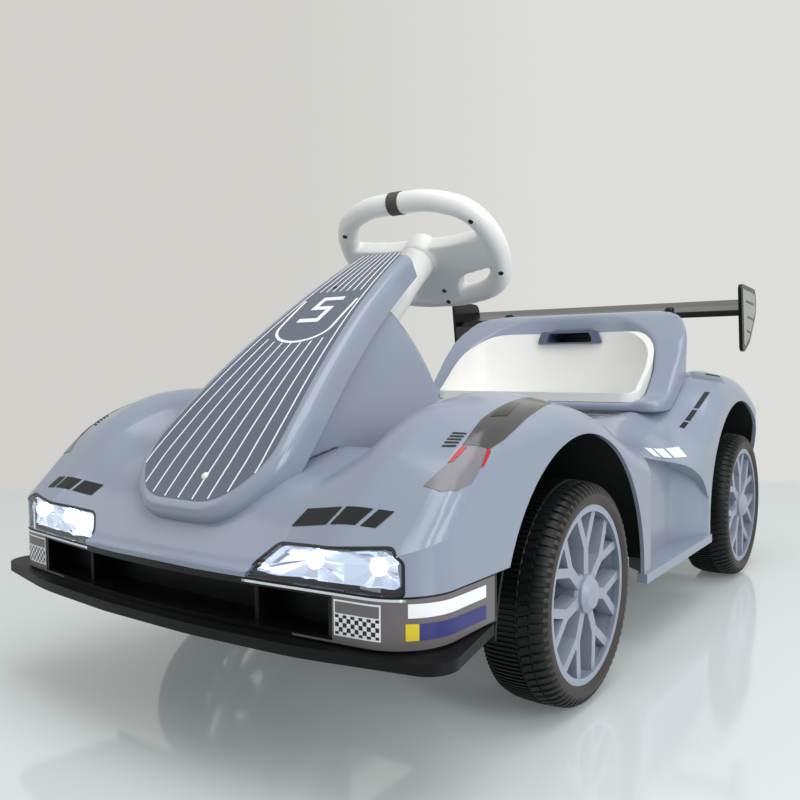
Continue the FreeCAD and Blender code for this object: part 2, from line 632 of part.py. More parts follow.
liner_room = body_form(SKIN + size["clearance"], 20)
for name, y, radius, centre_z in ARCHES:
    liner = wheel_liner(y, radius, centre_z)
    part(f"wheel_liner_{name}_left", liner)
    part(f"wheel_liner_{name}_right", mirrored(liner))

# Wheels. Each is made about its own centre, outer face towards +X, then placed; right wheels are turned
RIM_X = "tyre_width / 2 - rim_inset"
WHEELS = [("front_left", FRONT_AXLE_Y, 1), ("front_right", FRONT_AXLE_Y, -1),
          ("rear_left", REAR_AXLE_Y, 1), ("rear_right", REAR_AXLE_Y, -1)]


def wheel_place(y, side):
    turn = FreeCAD.Rotation(Vector(0, 0, 1), 0 if side > 0 else 180)
    return FreeCAD.Placement(Vector(side * WHEEL_CENTRE_X, y, AXLE_Z), turn)


def make_tyre(label, place):
    body = doc.addObject("PartDesign::Body", label)
    revolve(body, label + "_tread", [
        ("tyre_width / 2 - 2", "rim_radius + 0.1"), ("tyre_width / 2", "rim_radius + 5"),
        ("tyre_width / 2 - 1", "tyre_radius - tyre_shoulder"), ("tyre_width / 2 - tyre_shoulder", "tyre_radius"),
        ("-tyre_width / 2 + tyre_shoulder", "tyre_radius"), ("-tyre_width / 2 + 1", "tyre_radius - tyre_shoulder"),
        ("-tyre_width / 2", "rim_radius + 5"), ("-tyre_width / 2 + 2", "rim_radius + 0.1")])
    body.Placement = place
    return keep(body, label)


def make_rim(label, place):
    body = doc.addObject("PartDesign::Body", label)
    revolve(body, label + "_barrel", [
        (RIM_X, "rim_radius - rim_lip"), (RIM_X, "rim_radius"), ("-" + RIM_X.replace("-", "+"), "rim_radius"),
        ("-" + RIM_X.replace("-", "+"), "rim_radius - rim_wall"), (RIM_X + " - 8", "rim_radius - rim_wall")])
    revolve(body, label + "_hub", [
        (RIM_X + " - 3", "axle_radius + axle_fit"), (RIM_X + " - 3", "hub_radius - 2"),
        (RIM_X + " - 6", "hub_radius"), ("-tyre_width / 4", "hub_radius - 3"),
        ("-tyre_width / 4", "axle_radius + axle_fit")])
    doc.recompute()
    body.Placement = place
    return body


def forked_spokes():
    """The spokes of one wheel: a short stem from the hub that forks into two arms at the rim."""
    face = size["tyre_width"] / 2 - size["rim_inset"] - 3
    depth = size["spoke_depth"]
    hub, lip = size["hub_radius"] - 2, size["rim_radius"] - 3
    fork, stem, arm = 40, 5, 4
    step = 2 * math.pi / size["spoke_count"]
    spread = step * 0.27
    pieces = []

    def bar(a, b, half):
        along = (b - a).normalize()
        side = along.cross(Vector(1, 0, 0)) * half
        corners = [a - side, b - side, b + side, a + side, a - side]
        return Part.Face(Part.makePolygon(corners)).extrude(Vector(-depth, 0, 0))

    for i in range(int(size["spoke_count"])):
        middle = i * step

        def at(radius, angle):
            return Vector(face, -radius * math.sin(angle), radius * math.cos(angle))

        pieces.append(bar(at(hub - 4, middle), at(fork + 3, middle), stem))
        for way in (-1, 1):
            pieces.append(bar(at(fork, middle), at(lip, middle + way * spread), arm))
    solid = pieces[0]
    return solid.multiFuse(pieces[1:]).removeSplitter()


spokes = forked_spokes()
for name, y, side in WHEELS:
    place = wheel_place(y, side)
    make_tyre("tyre_" + name, place)
    barrel = make_rim("rim_core_" + name, place)
    rest = barrel.Shape.copy()
    rest.Placement = FreeCAD.Placement()
    part("rim_" + name, rest.fuse(spokes).removeSplitter(), place)
    cap = doc.addObject("PartDesign::Body", "cap")
    revolve(cap, "cap_" + name + "_crown", [
        (RIM_X + " - 2.8", "0"), (RIM_X + " - 2.8", "cap_radius"), (RIM_X, "cap_radius"),
        (RIM_X + " - 3 + cap_height * 0.8", "cap_radius * 0.72"), (RIM_X + " - 3 + cap_height", "0")])
    cap.Placement = place
    keep(cap, "hub_cap_" + name)

# Chassis: a black pan under the floor, with rails beside the battery and saddles under the front axle
beam_z = AXLE_Z
beam_half = 9
rail_outer = LINER_WALL_X - LINER_WALL - size["clearance"]
chassis_front, chassis_back = FRONT_AXLE_Y - 30, TAIL_Y - 62
PAN_HEIGHT = f"floor_height - {tub_wall} - clearance - pan_bottom"
rails_front = "(cockpit_back + 6)"
chassis_pieces = [box("pan", 2 * rail_outer, chassis_back - chassis_front, PAN_HEIGHT,
                      -rail_outer, chassis_front, "pan_bottom")]
for side, sx in (("left", 1), ("right", -1)):
    rail_x = rail_outer - size["rail_wall"] if sx > 0 else -rail_outer
    chassis_pieces.append(box(f"rail_{side}", "rail_wall", f"{chassis_back} - {rails_front}", "rail_top - pan_bottom",
                              rail_x, rails_front, "pan_bottom"))
    saddle_x = 60 if sx > 0 else -84
    chassis_pieces.append(box(f"saddle_{side}", 24, 48, f"{beam_z - beam_half} - clearance - pan_bottom",
                              saddle_x, FRONT_AXLE_Y - 24, "pan_bottom"))
axle_hole = rod("axle_hole", "axle_radius + clearance", 400, (-200, REAR_AXLE_Y, AXLE_Z), (1, 0, 0))
keep(cut("chassis", fuse("chassis_pan", *chassis_pieces), axle_hole), "chassis")

# Front axle beam with its kingpin eyes, steel
king = size["kingpin_x"]
beam = slab(-king + 12, king - 12, FRONT_AXLE_Y - beam_half, FRONT_AXLE_Y + beam_half,
            beam_z - beam_half, beam_z + beam_half)
for sx in (-1, 1):
    eye = Part.makeCylinder(11, 36, Vector(sx * king, FRONT_AXLE_Y, beam_z - 18))
    fork = slab(-30, 0, -9, 9, -18, 18)
    fork = fork.cut(slab(-14, 20, -20, 20, -10, 10)) if sx > 0 else mirrored(fork.cut(slab(-14, 20, -20, 20, -10, 10)))
    fork.translate(Vector(sx * king, FRONT_AXLE_Y, beam_z))
    beam = beam.fuse(eye.cut(slab(-400, 400, -400, 400, beam_z - 10, beam_z + 10))).fuse(fork)
    beam = beam.cut(Part.makeCylinder(size["kingpin_radius"] + 0.05, 60, Vector(sx * king, FRONT_AXLE_Y, beam_z - 30)))
part("front_axle_beam", beam.removeSplitter())
for name, sx in (("left", 1), ("right", -1)):
    x = sx * king
    knuckle = Part.makeCylinder(10, 19.6, Vector(x, FRONT_AXLE_Y, beam_z - 9.8))
    knuckle = knuckle.fuse(Part.makeCylinder(size["kingpin_radius"], 40, Vector(x, FRONT_AXLE_Y, beam_z - 20)))
    stub_end = WHEEL_CENTRE_X + size["tyre_width"] / 2 - size["rim_inset"] - 3.2
    stub = drum(size["axle_radius"], 0, stub_end - king, 0, 0)
    stub = stub if sx > 0 else mirrored(stub)
    stub.translate(Vector(x, FRONT_AXLE_Y, beam_z))
    arm = slab(x - 5, x + 5, FRONT_AXLE_Y - size["steer_arm"] - 6, FRONT_AXLE_Y, beam_z - 9.8, beam_z - 3.8)
    pin = Part.makeCylinder(3, 16, Vector(x, FRONT_AXLE_Y - size["steer_arm"], beam_z - 9.8))
    pin.translate(Vector(0, 0, -10))
    part(f"knuckle_{name}", knuckle.fuse(stub).fuse(arm).fuse(pin).removeSplitter())

# Crank at the foot of the steering rod, and the tie rod's plate that its pin works in
crank_plate = 6
crank_end = wheel_hub + down * size["rod_length"]
crank_pin = crank_end + wheel_up * size["crank_reach"]
pin_radius = 3
tie_y = FRONT_AXLE_Y - size["steer_arm"]
tie_top = beam_z - 11
tie_plate = 5
tie_half = 9


def on_column(shape):
    """Places a shape drawn with X sideways, Y towards the wheel's top and Z up the column."""
    shape = shape.copy()
    up = Vector(0, 0, 0) - down
    shape.transformShape(FreeCAD.Matrix(1, 0, 0, crank_end.x, 0, wheel_up.y, up.y, crank_end.y,
                                        0, wheel_up.z, up.z, crank_end.z, 0, 0, 0, 1))
    return shape


plate_gap = 3
plate_top = -crank_plate - plate_gap
reach_down = (crank_end.z + down.z * (crank_plate + plate_gap + tie_plate) - (tie_top - tie_plate)) / wheel_up.z
tie_link = on_column(slab(-13, 13, -reach_down, size["crank_reach"] + 14, plate_top - tie_plate, plate_top).cut(
    slab(-pin_radius - 0.6, pin_radius + 0.6, size["crank_reach"] - 9, size["crank_reach"] + 5, -100, 100)))
foot_y = crank_end.y + down.y * (crank_plate + plate_gap) - wheel_up.y * reach_down
tie = slab(-king - 12, king + 12, tie_y - tie_half, tie_y + tie_half, tie_top - tie_plate, tie_top)
for sx in (-1, 1):
    tie = tie.cut(slab(sx * king - pin_radius - 0.8, sx * king + pin_radius + 0.8, tie_y - 5, tie_y + 7, 0, 200))
tie = tie.fuse(slab(-13, 13, foot_y - 4, tie_y, tie_top - tie_plate, tie_top)).fuse(tie_link)
tie = tie.cut(slab(-20, 20, -600, 600, 0, tie_top - tie_plate))
part("tie_rod", tie.removeSplitter())

# Steering wheel, its column and the steel rod inside
local = FreeCAD.Matrix(1, 0, 0, wheel_hub.x, 0, wheel_up.y, -down.y, wheel_hub.y,
                       0, wheel_up.z, -down.z, wheel_hub.z, 0, 0, 0, 1)
hub_back, hub_boss = 16, 20
gw, gh, gr = size["grip_half_width"], size["grip_half_height"], size["grip_radius"]
grip_points = [(gw * 0.42, gh, 0, 300), (gw * 0.9, gh * 0.72, 0, 300), (gw * 1.04, 0, 0, 300),
               (gw * 0.86, -gh * 0.8, 0, 300), (gw * 0.36, -gh, 0, 300)]
grip_points += [(-x, y, z, r) for x, y, z, r in reversed(grip_points)]
path = closed(grip_points)
ring_face = Part.Wire(Part.Circle(path.Vertexes[0].Point, path.Edges[0].tangentAt(0), gr).toShape())
grip = path.makePipeShell([ring_face], True, False)
# Right half of the hub plate, from its top to its foot; its back stays inside the tube, clear of a tangent face
PLATE_BACK, PLATE_DEPTH = -11, 21
plate_half = [(40, 12, PLATE_BACK, 90), (gw, 18, PLATE_BACK, 8), (gw, -20, PLATE_BACK, 8), (38, -32, PLATE_BACK, 24),
              (26, -gh, PLATE_BACK, 8)]
hub_plate = prism(plate_half + [(-x, y, z, r) for x, y, z, r in reversed(plate_half)], (0, 0, PLATE_DEPTH))
wheel_shape = grip.fuse(hub_plate).fuse(Part.makeCylinder(hub_boss, hub_back + 10, Vector(0, 0, -hub_back)))
wheel_shape.transformShape(local)
part("steering_wheel", wheel_shape)
column = rod("column_sleeve", "column_radius", "column_length", wheel_hub + down * (hub_back + size["clearance"]), down)
column_bore = rod("column_bore", "shaft_radius + clearance", 200, wheel_hub, down)
keep(cut("steering_column", column, column_bore), "steering_column")
rod_start = hub_back + 1
shaft = Part.makeCylinder(size["shaft_radius"], size["rod_length"] - rod_start, wheel_hub + down * rod_start, down)
crank = on_column(slab(-7, 7, -8, size["crank_reach"] + 7, -crank_plate, 0))
crank = crank.fuse(Part.makeCylinder(pin_radius, crank_plate + plate_gap + tie_plate + 3, crank_pin, down))
part("steering_rod", shaft.fuse(crank))

# Rear axle rod, its gearboxes and the battery
keep(rod("rear_axle", "axle_radius", 2 * stub_end, (-stub_end, REAR_AXLE_Y, AXLE_Z), (1, 0, 0)), "rear_axle")
for name, sx in (("left", 1), ("right", -1)):
    inside = LINER_WALL_X + size["clearance"]
    low_x = inside if sx > 0 else f"{-inside} - gearbox_width"
    gear = box(f"gear_case_{name}", "gearbox_width", "gearbox_length", "gearbox_height",
               low_x, REAR_AXLE_Y - 30, AXLE_Z - 26)
    keep(cut(f"gearbox_{name}", gear, axle_hole), f"gearbox_{name}")
keep(box("battery", "battery_width", "battery_length", "battery_height", "-battery_width / 2", "cockpit_back + 38",
         f"floor_height - {tub_wall}"), "battery")
# Accelerator pedal on the footwell floor
pedal_front = size["step_back"] + 12
pedal = prism([(-104, pedal_front, floor + 0.3, 3), (-104, pedal_front + 60, floor + 0.3, 3),
               (-104, pedal_front + 14, floor + 30, 6)], (44, 0, 0))
part("accelerator_pedal", pedal)

doc.recompute()
for obj in doc.Objects:
    if "Invalid" in obj.State or "Error" in obj.State:
        raise RuntimeError(f"{obj.Label} failed: {obj.State}")
for obj in made:
    shape = obj.Shape
    if shape.isNull() or not shape.isValid() or not shape.Solids:
        raise RuntimeError(f"{obj.Label} has no valid solid")
    shape.exportStep(f"parts/{obj.Label}.step")
    bb = shape.BoundBox
    print(f"{obj.Label:26s} {len(shape.Solids)} solid(s) {shape.Volume / 1000:9.1f} cm3  "
          f"x {bb.XMin:7.1f} {bb.XMax:7.1f}  y {bb.YMin:7.1f} {bb.YMax:7.1f}  z {bb.ZMin:6.1f} {bb.ZMax:6.1f}")
print(len(made), "sub-parts")
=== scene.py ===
# %% [markdown]
# A child's electric go-kart: a blue-grey moulded body on four plastic wheels, with a white steering wheel
# on a sloping column, a wrap-around seat and a black wing. The construction comes in as a fixed frame.
# This script gives every surface its finish, and models the small forms that make the toy look real:
# the tread, the lamps, the printed films, the rolled edges and the screws.

# %% Frame
import json
import math

import bmesh
import bpy
from mathutils import Matrix, Vector
from mathutils.bvhtree import BVHTree


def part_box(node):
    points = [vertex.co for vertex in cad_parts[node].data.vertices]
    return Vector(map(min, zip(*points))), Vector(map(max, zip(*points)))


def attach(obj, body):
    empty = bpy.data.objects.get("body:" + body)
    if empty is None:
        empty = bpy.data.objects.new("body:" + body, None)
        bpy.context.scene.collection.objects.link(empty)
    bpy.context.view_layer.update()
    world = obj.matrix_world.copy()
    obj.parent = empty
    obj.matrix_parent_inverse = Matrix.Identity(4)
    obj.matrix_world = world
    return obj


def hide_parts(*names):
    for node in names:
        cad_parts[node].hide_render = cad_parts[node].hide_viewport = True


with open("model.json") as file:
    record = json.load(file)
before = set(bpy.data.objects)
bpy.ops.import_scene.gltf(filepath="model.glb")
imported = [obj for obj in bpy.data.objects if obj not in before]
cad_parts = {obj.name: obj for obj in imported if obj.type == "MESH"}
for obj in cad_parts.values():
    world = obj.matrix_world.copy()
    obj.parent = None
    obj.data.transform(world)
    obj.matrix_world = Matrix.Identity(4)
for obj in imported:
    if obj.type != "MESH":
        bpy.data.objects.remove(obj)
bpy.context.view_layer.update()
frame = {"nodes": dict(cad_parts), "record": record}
NODES = frame["nodes"]
MM = 0.001

# %% [markdown]
# The camera stands where the photographer stood: low, off the kart's front left corner. Its place and
# turn are given as angles, and a matrix of its right, up and backward directions sets it.

# %% Camera
CAMERA_PLACE = Vector((529.55, -901.86, 306.67)) * MM
CAMERA_AZIMUTH, CAMERA_PITCH, CAMERA_ROLL = (math.radians(a) for a in (35.813, 2.639, -0.570))
CAMERA_LENS, SENSOR, NEAREST = 37.12, 36.0, 0.02


def camera_matrix():
    """Place and turn of the camera, which looks along its own -Z."""
    forward = Vector((-math.sin(CAMERA_AZIMUTH) * math.cos(CAMERA_PITCH),
                      math.cos(CAMERA_AZIMUTH) * math.cos(CAMERA_PITCH), -math.sin(CAMERA_PITCH)))
    level = forward.cross(Vector((0, 0, 1))).normalized()
    upright = level.cross(forward)
    right = math.cos(CAMERA_ROLL) * level + math.sin(CAMERA_ROLL) * upright
    up = -math.sin(CAMERA_ROLL) * level + math.cos(CAMERA_ROLL) * upright
    turn = Matrix((right, up, -forward)).transposed().to_4x4()
    return Matrix.Translation(CAMERA_PLACE) @ turn


camera = bpy.data.objects.new("camera", bpy.data.cameras.new("camera"))
bpy.context.scene.collection.objects.link(camera)
camera.matrix_world = camera_matrix()
camera.data.lens = CAMERA_LENS
camera.data.sensor_width = SENSOR
camera.data.clip_start = NEAREST
bpy.context.scene.camera = camera
print("camera at", tuple(round(c, 3) for c in CAMERA_PLACE))

# %% [markdown]
# Materials are node trees. One helper adds a node with its settings and links, and one turns an sRGB hex
# colour into the linear value that the renderer works with.


# %% Helpers for materials
def srgb(text, alpha=1.0):
    """Linear colour of an sRGB hex value."""
    parts = [int(text[i:i + 2], 16) / 255 for i in (1, 3, 5)]
    return tuple(c / 12.92 if c <= 0.04045 else ((c + 0.055) / 1.055) ** 2.4 for c in parts) + (alpha,)


def add(tree, kind, links=None, **settings):
    """A node of that kind. Settings are properties or sockets' values, and links are (socket: source)."""
    node = tree.nodes.new(kind)
    for name, value in settings.items():
        if hasattr(node, name):
            setattr(node, name, value)
        else:
            node.inputs[name.replace("_", " ")].default_value = value
    for name, source in (links or {}).items():
        tree.links.new(source, node.inputs[name])
    return node


# A Mix node has sockets of one name for numbers, vectors and colours, so its colour sockets go by place
MIX_COLOURS, MIX_RESULT = {"A": 6, "B": 7}, 2


def material(name, **settings):
    """A new Principled material; returns it with its tree and its shader."""
    made = bpy.data.materials.new(name)
    made.use_nodes = True
    shader = made.node_tree.nodes["Principled BSDF"]
    for socket, value in settings.items():
        shader.inputs[socket.replace("_", " ")].default_value = value
    return made, made.node_tree, shader


# %% [markdown]
# Every new piece starts as a bmesh and ends as an object at the origin, whose place is in its mesh. It then
# gets its finish and the moving body that it rides on.


# %% Helpers for shapes
def finish_shape(shape, name, smooth=False, angle=None):
    """Turns a bmesh into an object whose place is in its mesh."""
    bmesh.ops.recalc_face_normals(shape, faces=shape.faces)
    mesh = bpy.data.meshes.new(name)
    shape.to_mesh(mesh)
    shape.free()
    if smooth:
        mesh.shade_smooth()
    if angle is not None:
        mesh.set_sharp_from_angle(angle=math.radians(angle))
    made = bpy.data.objects.new(name, mesh)
    bpy.context.scene.collection.objects.link(made)
    return made


def settle(piece, finish, body, replaced=None):
    """Gives a piece its finish and its body; it may take the place of one of the frame's pieces."""
    piece.data.materials.append(finish)
    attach(piece, body)
    if replaced:
        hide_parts(replaced)


def moved_part(geometry):
    """The vertices that an extrusion has added."""
    return [v for v in geometry["geom"] if isinstance(v, bmesh.types.BMVert)]


def cut_through(shape, place, normal, faces=None):
    """Cuts a shape, or some of its faces, by a plane and keeps both sides."""
    if faces is None:
        parts = shape.verts[:] + shape.edges[:] + shape.faces[:]
    else:
        parts = list(set(faces) | {e for f in faces for e in f.edges} | {v for f in faces for v in f.verts})
    bmesh.ops.bisect_plane(shape, geom=parts, dist=1e-4, plane_co=place, plane_no=normal)


# %% [markdown]
# The studio is a pale sweep: a glossy floor that ends in a matt wall. Rays from the camera and mirrored rays
# see its pale colour as written, mixed on the floor with the lamps' light, so that the kart keeps its shadow.

# %% Studio
# The wall's two colours make it lighter towards the right, where the light falls: painted light.
FLOOR_COLOUR, WALL_LEFT, WALL_RIGHT = "#DCE3E3", "#D1D0CC", "#DDDEDA"
FLOOR_END, FLOOR_BLEND, FLOOR_OWN, FLOOR_GLOSS, FLOOR_IOR = 0.98, 0.07, 0.12, 0.09, 1.9
WALL_DISTANCE, WALL_HEIGHT, WALL_SPREAD, WALL_ROUGHNESS = 3.0, 6.0, 0.9, 0.9
SWEEP_RADIUS, SWEEP_STEPS, STAGE_HALF = 0.35, 12, 9.0
AHEAD = Vector((-math.sin(CAMERA_AZIMUTH), math.cos(CAMERA_AZIMUTH), 0))
SIDEWAYS = Vector((AHEAD.y, -AHEAD.x, 0))


def make_stage():
    """A floor and a wall behind the kart, square to the camera's direction, joined by a tight sweep."""
    shape = bmesh.new()
    profile = [(-STAGE_HALF, 0.0), (WALL_DISTANCE - SWEEP_RADIUS, 0.0)]
    for i in range(1, SWEEP_STEPS + 1):
        turn = math.pi / 2 * i / SWEEP_STEPS
        profile.append((WALL_DISTANCE - SWEEP_RADIUS + SWEEP_RADIUS * math.sin(turn),
                        SWEEP_RADIUS - SWEEP_RADIUS * math.cos(turn)))
    profile.append((WALL_DISTANCE, WALL_HEIGHT))
    line = [shape.verts.new(AHEAD * along - SIDEWAYS * STAGE_HALF + Vector((0, 0, up))) for along, up in profile]
    edges = [shape.edges.new(pair) for pair in zip(line, line[1:])]
    moved = moved_part(bmesh.ops.extrude_edge_only(shape, edges=edges))
    bmesh.ops.translate(shape, verts=moved, vec=SIDEWAYS * 2 * STAGE_HALF)
    return finish_shape(shape, "studio_sweep", smooth=True)


def stage_material():
    """Paint whose gloss ends where the floor does: distance along the room sets the mix of floor and wall."""
    made, tree, shader = material("studio_paint", IOR=FLOOR_IOR)
    place = add(tree, "ShaderNodeTexCoord").outputs["Object"]

    def along(direction, low, high, bottom=0.0, top=1.0):
        """A value that goes from bottom to top between two distances along a direction."""
        reach = add(tree, "ShaderNodeVectorMath", {0: place}, operation="DOT_PRODUCT")
        reach.inputs[1].default_value = direction
        return add(tree, "ShaderNodeMapRange", {"Value": reach.outputs["Value"]}, interpolation_type="SMOOTHSTEP",
                   From_Min=low, From_Max=high, To_Min=bottom, To_Max=top).outputs["Result"]

    def over_floor_end(bottom=0.0, top=1.0):
        """A value that changes where the floor turns into the wall."""
        return along(AHEAD, FLOOR_END - FLOOR_BLEND, FLOOR_END + FLOOR_BLEND, bottom, top)

    def mix(share, first, second):
        """A mix of two colours, each a hex value or another node's output."""
        blend = add(tree, "ShaderNodeMix", {"Factor": share}, data_type="RGBA")
        for socket, value in (("A", first), ("B", second)):
            if isinstance(value, str):
                blend.inputs[MIX_COLOURS[socket]].default_value = srgb(value)
            else:
                tree.links.new(value, blend.inputs[MIX_COLOURS[socket]])
        return blend.outputs[MIX_RESULT]

    wall = mix(along(SIDEWAYS, -WALL_SPREAD, WALL_SPREAD), WALL_LEFT, WALL_RIGHT)
    paint = mix(over_floor_end(), FLOOR_COLOUR, wall)
    tree.links.new(paint, shader.inputs["Base Color"])
    tree.links.new(over_floor_end(FLOOR_GLOSS, WALL_ROUGHNESS), shader.inputs["Roughness"])
    path = add(tree, "ShaderNodeLightPath")
    seen = path.outputs["Is Camera Ray"]
    for ray in ("Is Glossy Ray", "Is Transmission Ray"):
        seen = add(tree, "ShaderNodeMath", {0: seen, 1: path.outputs[ray]}, operation="MAXIMUM").outputs[0]
    share = add(tree, "ShaderNodeMath", {0: seen, 1: over_floor_end(FLOOR_OWN)}, operation="MULTIPLY")
    own = add(tree, "ShaderNodeEmission", {"Color": paint}, Strength=1.0)
    both = add(tree, "ShaderNodeMixShader", {"Fac": share.outputs[0], 1: shader.outputs[0], 2: own.outputs[0]})
    tree.links.new(both.outputs[0], tree.nodes["Material Output"].inputs["Surface"])
    return made


stage = make_stage()
stage.data.materials.append(stage_material())
print("stage ends", WALL_DISTANCE, "m behind the middle")

# %% [markdown]
# Soft studio light comes from large area lamps: one over the kart for the long highlights that run along
# the fenders, a broad one from the right that models the wheels, a weak one from the left, and a narrow
# strip that draws a thin bright line on the near fender. A pale world fills the shadows.

# %% Lights
# Each lamp: its place and what it is aimed at, its width and height in metres, and its power in watts
LAMPS = {
    "over": ((0.5, -0.3, 2.3), (0, 0, 0.2), 1.9, 1.4, 26),
    "left": ((-1.9, -1.7, 1.3), (0, -0.1, 0.2), 1.4, 1.4, 7),
    "right": ((2.4, -0.6, 1.1), (0.1, 0, 0.2), 1.2, 1.6, 24),
    "strip": ((1.5, -0.9, 1.5), (0.2, -0.25, 0.25), 0.1, 1.5, 5),
}
WORLD_COLOUR, WORLD_STRENGTH = "#F2F4F5", 0.55

for name, (place, aim, width, height, power) in LAMPS.items():
    lamp = bpy.data.objects.new(name, bpy.data.lights.new(name, "AREA"))
    lamp.data.shape = "RECTANGLE"
    lamp.data.size, lamp.data.size_y = width, height
    lamp.data.energy = power
    lamp.location = place
    lamp.rotation_euler = (Vector(aim) - Vector(place)).to_track_quat("-Z", "Y").to_euler()
    bpy.context.scene.collection.objects.link(lamp)
world = bpy.data.worlds.new("studio")
bpy.context.scene.world = world
world.use_nodes = True
world.node_tree.nodes["Background"].inputs["Color"].default_value = srgb(WORLD_COLOUR)
world.node_tree.nodes["Background"].inputs["Strength"].default_value = WORLD_STRENGTH
bpy.context.scene.view_settings.view_transform = "Standard"
print(len(LAMPS), "lamps")

# %% [markdown]
# The body is injection-moulded polypropylene in blue-grey. Long soft reflections and a very faint waviness
# of the skin show it, so the shader is a smooth dielectric with a shallow, wide bump. The rims and the
# steering wheel are less glossy. The blacks have a lower IOR, which keeps them deep under the large lamps.

# %% Moulded plastics
WAVE_HEIGHT, GRAIN_MM, GRAIN_HEIGHT = 0.001, 0.9, 0.0004
HANDLING_PER_METRE, HANDLING_LOW, HANDLING_HIGH = 9.0, 0.8, 1.25


def moulded(name, colour, roughness, wave_mm=45.0, wave_depth=0.05, grain=0.0, ior=1.49):
    """Moulded plastic: an even colour, a shallow wave from cooling and, where asked, a fine matt grain."""
    made, tree, shader = material(name, Base_Color=srgb(colour), Roughness=roughness, IOR=ior)
    place = add(tree, "ShaderNodeTexCoord").outputs["Object"]
    wave = add(tree, "ShaderNodeTexNoise", {"Vector": place}, Scale=1000 / wave_mm, Detail=1.0)
    bump = add(tree, "ShaderNodeBump", {"Height": wave.outputs["Fac"]}, Strength=wave_depth, Distance=WAVE_HEIGHT)
    if grain:
        fine = add(tree, "ShaderNodeTexNoise", {"Vector": place}, Scale=1000 / GRAIN_MM, Detail=2.0)
        bump = add(tree, "ShaderNodeBump", {"Height": fine.outputs["Fac"], "Normal": bump.outputs["Normal"]},
                   Strength=grain, Distance=GRAIN_HEIGHT)
    tree.links.new(bump.outputs["Normal"], shader.inputs["Normal"])
    handled = add(tree, "ShaderNodeTexNoise", {"Vector": place}, Scale=HANDLING_PER_METRE, Detail=3.0)
    shade = add(tree, "ShaderNodeMapRange", {"Value": handled.outputs["Fac"]}, To_Min=roughness * HANDLING_LOW,
                To_Max=roughness * HANDLING_HIGH)
    tree.links.new(shade.outputs["Result"], shader.inputs["Roughness"])
    return made


body_plastic = moulded("gloss_polypropylene_blue_grey", "#8D97A8", 0.16, wave_depth=0.04)
rim_plastic = moulded("satin_polypropylene_blue_grey", "#98A1B1", 0.34, grain=0.1)
white_plastic = moulded("satin_abs_off_white", "#E9E9E6", 0.3, grain=0.08)
black_plastic = moulded("textured_polypropylene_black", "#08090A", 0.45, grain=0.35, ior=1.3)
gloss_black = moulded("gloss_abs_black", "#0A0B0C", 0.2, ior=1.36)
steel = material("zinc_plated_steel", Base_Color=srgb("#A9ABAD"), Metallic=1.0, Roughness=0.34)[0]
tyre_plastic = moulded("moulded_polyethylene_tyre_black", "#17181A", 0.5, grain=0.4, ior=1.35)

# %% [markdown]
# Lamps: a clear polycarbonate cover over a vacuum-metallised bowl. A thin sheet hardly shifts what lies
# behind it, so the cover has an IOR near one, and a coat gives it back its gloss.

# %% Lamp finishes
clear_cover = material("clear_polycarbonate", Base_Color=srgb("#F4F8FF"), Roughness=0.02, IOR=1.07,
                       Coat_Weight=0.8, Transmission_Weight=1.0)[0]
mirror_bowl = material("metallised_abs", Base_Color=srgb("#E4E8EE"), Metallic=1.0, Roughness=0.12)[0]

# %% [markdown]
# The record names a slot for each of the frame's pieces, and a table says which finish that slot has. The
# front bumper and the wing are the glossy ones among the black mouldings.

# %% Finishes on the frame's pieces
FINISHES = {
    "body": body_plastic, "white": white_plastic, "black": black_plastic, "rim": rim_plastic,
    "tyre": tyre_plastic, "steel": steel, "battery": black_plastic, "lens": clear_cover, "reflector": mirror_bowl,
}
for subpart in frame["record"]["subparts"]:
    node = NODES[subpart["node"]]
    node.data.materials.clear()
    node.data.materials.append(FINISHES[subpart["material_slot"]])
for name in ("front_bumper", "wing_blade", "wing_end_plate_left", "wing_end_plate_right"):
    NODES[name].data.materials[0] = gloss_black
print("finished", len(NODES), "pieces of the frame")

# %% [markdown]
# Blow-moulded and injection-moulded shells have no sharp edges. For the seat, the pedestal and the steering
# wheel, a copy of the frame's solid is wrapped in an even skin, and its edges are worn round.

# %% Softened mouldings
# Each: name, the frame's piece, body, slot, the skin's grain in millimetres, and rounds of wear
SOFT_PIECES = [
    ("soft_steering_wheel", "steering_wheel", "steering", "white", 1.7, 16),
    ("soft_seat_shell", "seat_shell", "kart", "body", 2.8, 14),
    ("soft_pedestal", "dash_pedestal", "kart", "body", 2.2, 6),
]
WEAR_FACTOR = 0.5


def softened(name, node, body, slot, voxel_mm, rounds):
    """A copy of a frame's piece with soft edges, which replaces it."""
    copy = bpy.data.objects.new(name + "_rough", NODES[node].data.copy())
    bpy.context.scene.collection.objects.link(copy)
    skin = copy.modifiers.new("skin", "REMESH")
    skin.mode, skin.voxel_size, skin.use_smooth_shade = "VOXEL", voxel_mm * MM, True
    worn = copy.modifiers.new("worn", "SMOOTH")
    worn.factor, worn.iterations = WEAR_FACTOR, rounds
    shaped = bpy.data.meshes.new_from_object(copy.evaluated_get(bpy.context.evaluated_depsgraph_get()))
    bpy.data.objects.remove(copy)
    shaped.name = name
    shaped.materials.clear()
    shaped.shade_smooth()
    piece = bpy.data.objects.new(name, shaped)
    bpy.context.scene.collection.objects.link(piece)
    settle(piece, FINISHES[slot], body, replaced=node)
    print(name, len(shaped.polygons), "faces")


for row in SOFT_PIECES:
    softened(*row)

# %% [markdown]
# Screws, caps, rings and lamp lenses are all turned: a profile of radius and height is spun about an axis
# that stands on the skin they sit on. A tree over the skin's faces finds that place. It also finds, by rays,
# where the films and the bands of painted seam shade round the lamps lie later.

# %% Turned details
SKINS = {}


